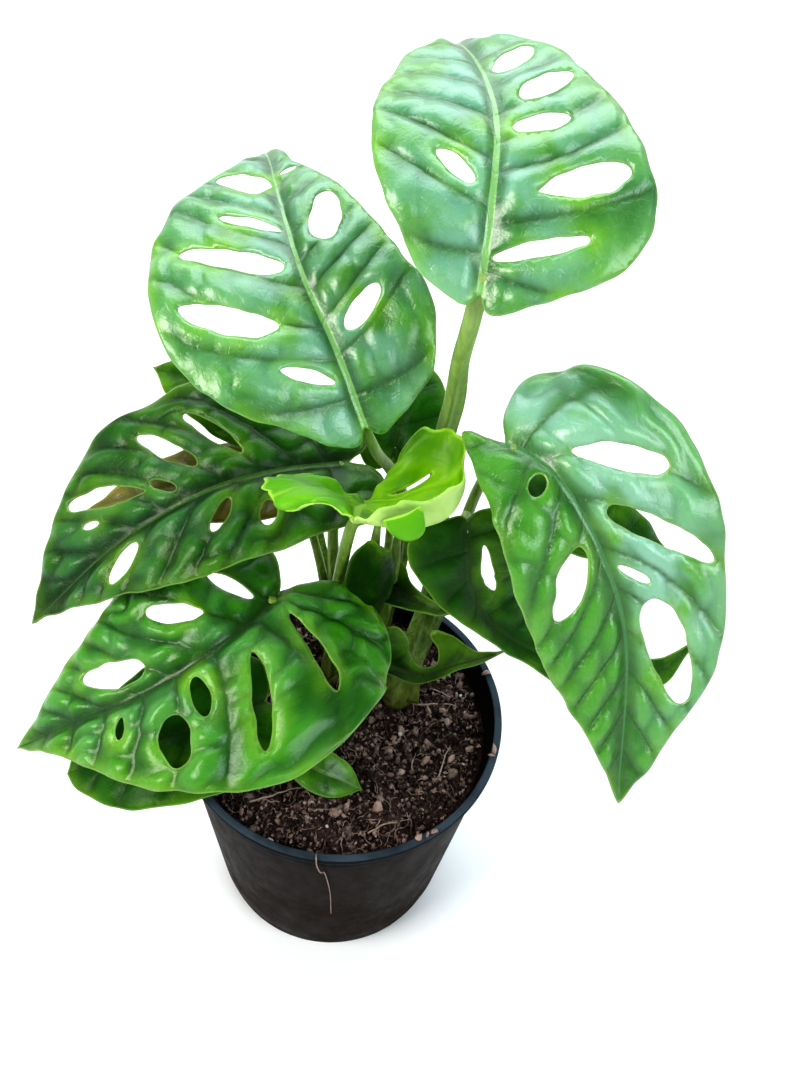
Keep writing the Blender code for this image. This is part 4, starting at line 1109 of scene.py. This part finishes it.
def pebble(centre, size, seed, flatness, rough):
    """One small broken lump."""
    shape = bmesh.new()
    bmesh.ops.create_icosphere(shape, subdivisions=1, radius=1.0)
    points = np.array([vert.co for vert in shape.verts])
    faces = [tuple(vert.index for vert in face.verts) for face in shape.faces]
    shape.free()
    x, y, z = [Matrix.Rotation(chance(seed, 1 + "XYZ".index(axis)) * math.tau, 3, axis) for axis in "XYZ"]
    spin = np.array(x @ y @ z)
    stretch = np.array([1.0, 0.55 + 0.4 * chance(seed, 5), flatness * (0.5 + 0.5 * chance(seed, 6))])
    spread = 1 + rough * (2 * scatter(np.arange(len(points)), np.full(len(points), seed)) - 1)
    points = (points * spread[:, None] * stretch) @ spin.T * size + np.asarray(centre)
    return points, faces, np.zeros(len(points))


def in_pot(index, seed, reach):
    """A steady random place on the soil."""
    radius = reach * math.sqrt(chance(index, seed))
    angle = math.tau * chance(index, seed + 1)
    return radius * math.cos(angle), radius * math.sin(angle)


def clear_places(count, seed, reach):
    """Steady random places on the soil, with their numbers, and none of them in a stem."""
    for index in range(count):
        x, y = in_pot(index, seed, reach)
        if all(math.dist((x, y), stem["foot"]) >= stem["radius"] + 1.5 for stem in SHOOTS.values()):
            yield index, x, y


def make_crumbs():
    """Bark, peat crumbs and clods over the soil and on the rim, the darker ones more common."""
    pieces, tints = [], []
    for index, x, y in clear_places(CRUMBS, 11, 53.5):
        pick = chance(index, 13)
        size = 0.4 + 0.8 * pick + (1.4 * (pick - 0.9) / 0.1 if pick > 0.9 else 0)
        pieces.append(pebble((x, y, soil_height(x, y) + 0.25 * size), size, index + 40, 0.8, 0.4))
        tints.append(chance(index, 17) ** 1.6)
    for index, (angle, radius, height) in enumerate(RIM_CRUMBS):
        turn = math.radians(angle)
        centre = (radius * math.cos(turn), radius * math.sin(turn), height)
        pieces.append(pebble(centre, 1.5 + 0.5 * (index % 2), 900 + index, 0.6, 0.4))
        tints.append(0.5 + 0.07 * index)
    return joined_mesh("soil_crumbs", pieces, tints)


def make_perlite():
    """White grains, and one pale pebble near the front of the rim."""
    pieces, tints = [], []
    for index, x, y in clear_places(PERLITE, 31, 52):
        size = 0.45 + 0.75 * chance(index, 33) ** 2
        pieces.append(pebble((x, y, soil_height(x, y) + 0.5 * size), size, index + 7, 0.9, 0.3))
        tints.append(chance(index, 35))
    pieces.append(pebble((-18.5, -50.5, 99.8), 2.1, 5, 0.9, 0.15))
    tints.append(0.8)
    return joined_mesh("soil_perlite", pieces, tints)


def fibre(start, heading, length, bend, radius, seed, lift=0.4):
    """A thin root or peat fibre that lies on the soil, or None where it leaves the pot."""
    count = max(6, int(length / 1.6))
    x, y = start
    points = []
    for step in range(count):
        heading += bend * (chance(step, seed) - 0.5) * 2
        x += length / count * math.cos(heading)
        y += length / count * math.sin(heading)
        if math.hypot(x, y) > FIBRE_REACH:
            break
        arch = lift * (1 + 1.5 * math.sin(math.pi * step / count))
        points.append((x, y, soil_height(x, y) + arch))
    if len(points) < 4:
        return None
    line = spline(points, np.linspace(0, len(points) - 1, 2 * len(points)))
    taper = radius * (1 - 0.7 * np.linspace(0, 1, len(line)) ** 2)
    return rounded_tube(line, taper, 5, None, (0, 0.3, 1))


def make_fibres():
    """Peat fibres, longer bare roots, and the hair that hangs over the pot's front."""
    made = []
    for index in range(FIBRES):
        start = in_pot(index, 51, 53)
        length = 2.5 + 12 * chance(index, 53) ** 3
        heading = math.tau * chance(index, 55)
        piece = fibre(start, heading, length, 0.7, 0.13 + 0.17 * chance(index, 57), index + 3)
        made.append((piece, chance(index, 59) ** 1.5))
    for index, (x, y, heading, length, radius) in enumerate(LONG_ROOTS):
        piece = fibre((x, y), math.radians(heading), length, 0.16, radius, index + 700, 0.8)
        made.append((piece, 0.92 + 0.02 * (index % 4)))
    hair = spline(ROOT_HAIR, np.linspace(0, len(ROOT_HAIR) - 1, 50))
    made.append((rounded_tube(hair, np.linspace(0.3, 0.17, 50), 6, None, (0, -1, 0.3)), 0.55))
    pieces, tints = zip(*[(piece, tint) for piece, tint in made if piece])
    return joined_mesh("soil_fibres", pieces, tints)


def pot_paint():
    """Black plastic: faint streaks, dust low down, light scuffs and a painted thin bluish highlight along
    the lip.
    """
    paint = Paint("black_plastic")
    place = paint.place()
    broad = paint.noise(place, 0.03, 4, 0.6)
    streaks = paint.noise(place, 0.006, 4, 0.65, (1, 1, 0.5))
    specks = paint.noise(place, 0.0016, 3, 0.7)
    height = paint.part(place, "Z")
    dusty = paint.times(paint.span(broad, 0.42, 0.7), paint.span(height, 0.1, 0.02, 0.35, 1.0))
    scuffs = paint.times(paint.span(specks, 0.665, 0.72), paint.span(broad, 0.5, 0.6))
    # A painted highlight: a thin bluish line along the top of the lip.
    lip = paint.times(paint.span(height, 0.1092, 0.1099), paint.span(broad, 0.3, 0.5, 0.4, 1))
    colour = paint.layers(
        (0.012, 0.0085, 0.007),
        (paint.span(streaks, 0.3, 0.75), 1, (0.018, 0.012, 0.0095)),
        (dusty, 0.45, (0.034, 0.023, 0.017)),
        (paint.span(height, 0.0985, 0.101, 0, 0.75), 1, (0.005, 0.007, 0.01)),
        (scuffs, 0.55, (0.2, 0.16, 0.12)),
        (lip, 0.8, (0.07, 0.095, 0.12)),
    )
    rough = paint.plus(paint.span(streaks, 0.3, 0.7, 0.38, 0.5), paint.times(dusty, 0.22))
    normal = paint.relief(paint.plus(streaks, paint.times(specks, 0.4)), 0.12)
    paint.set(Base_Color=colour, Roughness=rough, Normal=normal, Specular_IOR_Level=0.03)
    return paint.material


def soil_paint():
    """Dark peat with lighter grains and reddish spots."""
    paint = Paint("potting_soil")
    place = paint.place()
    clods = paint.noise(place, 0.006, 5, 0.65)
    grains = paint.noise(place, 0.0009, 4, 0.7)
    red = paint.noise(place, 0.0028, 3, 0.6)
    colour = paint.layers(
        (0.012, 0.008, 0.007),
        (paint.span(clods, 0.35, 0.65), 1, (0.08, 0.05, 0.044)),
        (paint.span(grains, 0.52, 0.7, 0, 0.8), 1, (0.2, 0.14, 0.12)),
        (paint.span(red, 0.58, 0.7, 0, 0.55), 1, (0.15, 0.075, 0.05)),
    )
    height = paint.plus(clods, paint.times(grains, 0.45))
    paint.set(Base_Color=colour, Roughness=0.95, Normal=paint.relief(height, 2.2), Specular_IOR_Level=0.1)
    return paint.material


def tinted_paint(name, dark, light, size, depth, rough=0.9):
    """Small loose things: each has its own tone between dark and light."""
    paint = Paint(name)
    grain = paint.noise(paint.place(), size, 4, 0.65)
    tone = paint.math("ADD", paint.value("tint"), paint.span(grain, 0.3, 0.7, -0.25, 0.25), True)
    paint.set(Base_Color=paint.layers(dark, (tone, 1, light)), Roughness=rough)
    paint.set(Normal=paint.relief(grain, depth), Specular_IOR_Level=0.25)
    return paint.material


def stalk_paint():
    """Olive-green stalks: fine lengthwise streaks, darker blotches, brown flecks, browner low down, and
    painted light that makes them paler higher up.
    """
    paint = Paint("stalk")
    place = paint.place()
    height = paint.part(place, "Z")
    streaks = paint.noise(place, 0.0011, 4, 0.6, (1, 1, 0.07))
    blotches = paint.noise(place, 0.009, 3, 0.6)
    flecks = paint.noise(place, 0.0009, 2, 0.5, (1, 1, 0.4))
    brown = paint.times(paint.span(flecks, 0.66, 0.74), paint.span(blotches, 0.4, 0.6, 0.2, 0.9))
    colour = paint.layers(
        (0.13, 0.23, 0.03),
        (paint.span(streaks, 0.3, 0.7), 1, (0.31, 0.43, 0.09)),
        (paint.span(blotches, 0.45, 0.7, 0, 0.6), 1, (0.06, 0.14, 0.018)),
        # Painted light: the stalks turn paler and bluer higher up, where the light reaches them.
        (paint.span(height, 0.16, 0.23, 0, 0.5), 1, (0.26, 0.38, 0.13)),
        (paint.span(height, 0.135, 0.102), 0.55, (0.09, 0.075, 0.02)),
        (brown, 0.4, (0.09, 0.06, 0.02)),
        (paint.span(paint.value("along"), 5, 1, 0, 0.35), 1, (0.16, 0.13, 0.05)),
    )
    rough = paint.span(streaks, 0.3, 0.7, 0.36, 0.5)
    paint.set(Base_Color=colour, Roughness=rough, Normal=paint.relief(streaks, 0.25))
    return paint.material


def young_paint():
    """The young leaf: lime inside, paler and bluer outside, with thin converging veins."""
    paint = Paint("young_leaf")
    place = paint.flat_place()
    side = paint.part(place, "Y")
    rim = paint.value("rim")
    broad = paint.noise(place, 14, 3)
    fine = paint.noise(place, 1.4, 3, 0.6)
    vein = paint.side_veins(0.1)
    rib = paint.span(paint.math("ABSOLUTE", side), 1.3, 0.7)
    above = paint.layers(
        (0.09, 0.26, 0.001),
        (paint.span(broad, 0.35, 0.65), 1, (0.2, 0.42, 0.002)),
        (paint.span(side, 4, 12), 0.75, (0.11, 0.36, 0.008)),
        (vein, 0.4, (0.33, 0.58, 0.05)),
        (rib, 0.7, (0.4, 0.6, 0.1)),
        # A painted lit rim: paler lime within a millimetre of the margin and the slits.
        (paint.span(rim, 0.9, 0.3, 0, 0.6), 1, (0.42, 0.62, 0.09)),
    )
    below = paint.layers(
        (0.33, 0.52, 0.13),
        (paint.span(broad, 0.35, 0.65), 1, (0.45, 0.62, 0.19)),
        (paint.math("MAXIMUM", rib, paint.times(vein, 0.5)), 1, (0.42, 0.56, 0.17)),
    )
    height = paint.minus(paint.times(fine, 0.4), vein)
    colour = paint.layers(above, (paint.value("underside"), 1, below))
    paint.set(Base_Color=colour, Roughness=paint.span(fine, 0.2, 0.8, 0.36, 0.46))
    paint.set(Normal=paint.relief(height, 0.35), Specular_IOR_Level=0.25)
    paint.set(Subsurface_Weight=0.12, Subsurface_Radius=(0.4, 1.0, 0.15), Subsurface_Scale=0.002)
    return paint.material


def make_young_leaf(surface):
    """The young leaf, thick and soft, rolled up at both sides, with a waved margin."""
    corner = 7.0
    half, long = surface.width, surface.length
    outline = [(0.6, 0), (0.2, -half * 0.45), (1.2, -half * 0.85), (corner, -half), (long * 0.35, -half)]
    outline += [(long * 0.7, -half), (long - corner, -half * 0.97), (long - 2.0, -half * 0.8)]
    outline += [(long - 0.3, -half * 0.45), (long, 0)]
    left = resampled(outline, 1.1)
    right = left[-2:0:-1] * (1, -1)
    outline = rough_outline(np.vstack([left, right]), 2.2, 4.5, 3)
    holes = [hole_outline(hole, 20) for hole in YOUNG_SLITS]
    leaf = dict(PLAIN_LEAF, seed=5, swell=0.6, pillow=0.3, ruffle=3.2)
    return leaf_piece("young_leaf", leaf, surface, outline, holes, 1.25)


def make_leaves():
    """Every full-grown leaf with its own paint, and the surfaces that the stalks need."""
    paints = {kind: leaf_paint("leaf_" + kind, {**PLAIN_LOOK, **look}) for kind, look in LEAF_LOOKS.items()}
    surfaces, made = {}, {}
    for number, (name, leaf) in enumerate(LEAVES.items()):
        leaf = {**PLAIN_LEAF, **leaf, "seed": number + 1}
        surface = Blade(leaf)
        coarse = leaf["coarse"]
        outline = leaf_outline(leaf, surface.length, FINE_EDGE * coarse)
        outline = rough_outline(outline, MARGIN_DEPTH, MARGIN_LUMPS, number)
        holes = []
        for hole in leaf["holes"]:
            width = hole[4]
            around = 2.2 * math.hypot(hole[2] - hole[0], hole[3] - hole[1]) + width
            edge = hole_outline(hole, max(12, int(around / HOLE_STEP)))
            holes.append(rough_outline(edge, HOLE_DEPTH + HOLE_DEPTH_BY_WIDTH * width, HOLE_LUMPS, number))
        piece = leaf_piece(name + "_blade", leaf, surface, outline, holes, FINE_GRID * coarse)
        piece.data.materials.append(paints[leaf["look"]])
        surfaces[name] = surface
        made[name] = piece
    return surfaces, made


def dress(piece, material=None, node=None):
    """A piece's material, and what it rides on and replaces."""
    if material:
        piece.data.materials.clear()
        piece.data.materials.append(material)
    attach(piece, "root")
    if node:
        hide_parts(node)


def dress_plant():
    """All leaves, sheaths and stalks."""
    surfaces, leaves = make_leaves()
    for name, piece in leaves.items():
        dress(piece, None, name)
    surfaces["leaf_young"] = YoungBlade()
    young = make_young_leaf(surfaces["leaf_young"])
    dress(young, young_paint(), "leaf_young")
    lobe = sheet_piece("young_leaf_lobe", YOUNG_LOBE, LEAF_SHEET, 14)
    dress(lobe, young.data.materials[0], None)
    fold = sheet_piece("leaf_centre_fold", CENTRE_FOLD, LEAF_SHEET, 16)
    # The fold takes the darkest leaf paint, which paints the shade between the stalks.
    dress(fold, bpy.data.materials["leaf_deep"], None)
    stalks = stalk_paint()
    for number, rows in enumerate(SHEATH_SHEETS):
        dress(sheet_piece("stalk_sheath_%d" % number, rows, SHEATH_SHEET, 18), stalks, None)
    for name, shoot in SHOOTS.items():
        dress(joined_mesh(name + "_stalks", shoot_pieces(shoot, surfaces)), stalks, name)


def dress_pot():
    """The pot, the soil and everything loose on it."""
    dress(make_pot(), pot_paint(), "pot")
    dress(make_soil(), soil_paint(), "soil")
    crumbs = tinted_paint("peat_and_bark", (0.022, 0.014, 0.012), (0.5, 0.36, 0.31), 0.0012, 0.5)
    dress(make_crumbs(), crumbs, None)
    fibres = tinted_paint("fibres_and_roots", (0.08, 0.042, 0.03), (0.46, 0.36, 0.3), 0.001, 0.15, 0.8)
    dress(make_fibres(), fibres, None)
    perlite = tinted_paint("perlite", (0.42, 0.38, 0.34), (0.75, 0.72, 0.68), 0.0008, 0.4)
    dress(make_perlite(), perlite, None)


def make_floor():
    """A pale floor that glows softly far away, so that it has no hard horizon."""
    corners = [(x * FLOOR_HALF, y * FLOOR_HALF, 0) for x, y in ((-1, -1), (1, -1), (1, 1), (-1, 1))]
    floor = mesh_object("floor", corners, [(0, 1, 2, 3)], False)
    paint = Paint("pale_floor")
    away = paint.node("VectorMath", "Value", {0: paint.place()}, operation="LENGTH")
    paint.set(Base_Color=(0.86, 0.86, 0.86), Roughness=0.9, Specular_IOR_Level=0.1)
    paint.set(Emission_Color=(1, 1, 1), Emission_Strength=paint.span(away, 1.0, 3.0, 0, 0.8))
    floor.data.materials.append(paint.material)


def make_sky():
    """Soft light from low all round that falls off upwards."""
    world = bpy.data.worlds.new("soft_sky")
    world.use_nodes = True
    tree = world.node_tree
    sky = tree.nodes["Background"]
    sky.inputs["Color"].default_value = SKY_COLOUR
    direction = tree.nodes.new("ShaderNodeTexCoord")
    split = tree.nodes.new("ShaderNodeSeparateXYZ")
    fall = tree.nodes.new("ShaderNodeMapRange")
    tree.links.new(direction.outputs["Generated"], split.inputs[0])
    tree.links.new(split.outputs["Z"], fall.inputs["Value"])
    for name, number in SKY_FADE.items():
        fall.inputs[name].default_value = number
    tree.links.new(fall.outputs["Result"], sky.inputs["Strength"])
    bpy.context.scene.world = world


def make_studio():
    """The floor, the sky, the three lights and how bright the picture is shown."""
    bpy.context.scene.view_settings.view_transform = "Standard"
    bpy.context.scene.view_settings.look = "High Contrast"
    make_floor()
    make_sky()
    for name, (place, size, power, colour) in LIGHTS.items():
        light = bpy.data.lights.new(name, "AREA")
        light.shape = "RECTANGLE"
        light.size, light.size_y = size
        light.energy = power
        light.color = colour
        made = add_object(name, light)
        made.location = place
        made.rotation_euler = (Vector(AIM) - Vector(place)).to_track_quat("-Z", "Y").to_euler()


def make_camera():
    """The photograph's view, found from the pot's rim and silhouette."""
    camera = bpy.data.cameras.new("camera")
    camera.lens = CAMERA_LENS
    camera.sensor_width = CAMERA_SENSOR
    made = add_object("camera", camera)
    tilt = Matrix.Rotation(math.radians(CAMERA_TILT), 4, "X")
    roll = Matrix.Rotation(math.radians(CAMERA_ROLL), 4, "Z")
    made.matrix_world = Matrix.Translation(CAMERA_PLACE) @ (tilt @ roll)
    bpy.context.scene.camera = made


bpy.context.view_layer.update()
dress_plant()
dress_pot()
make_studio()
make_camera()
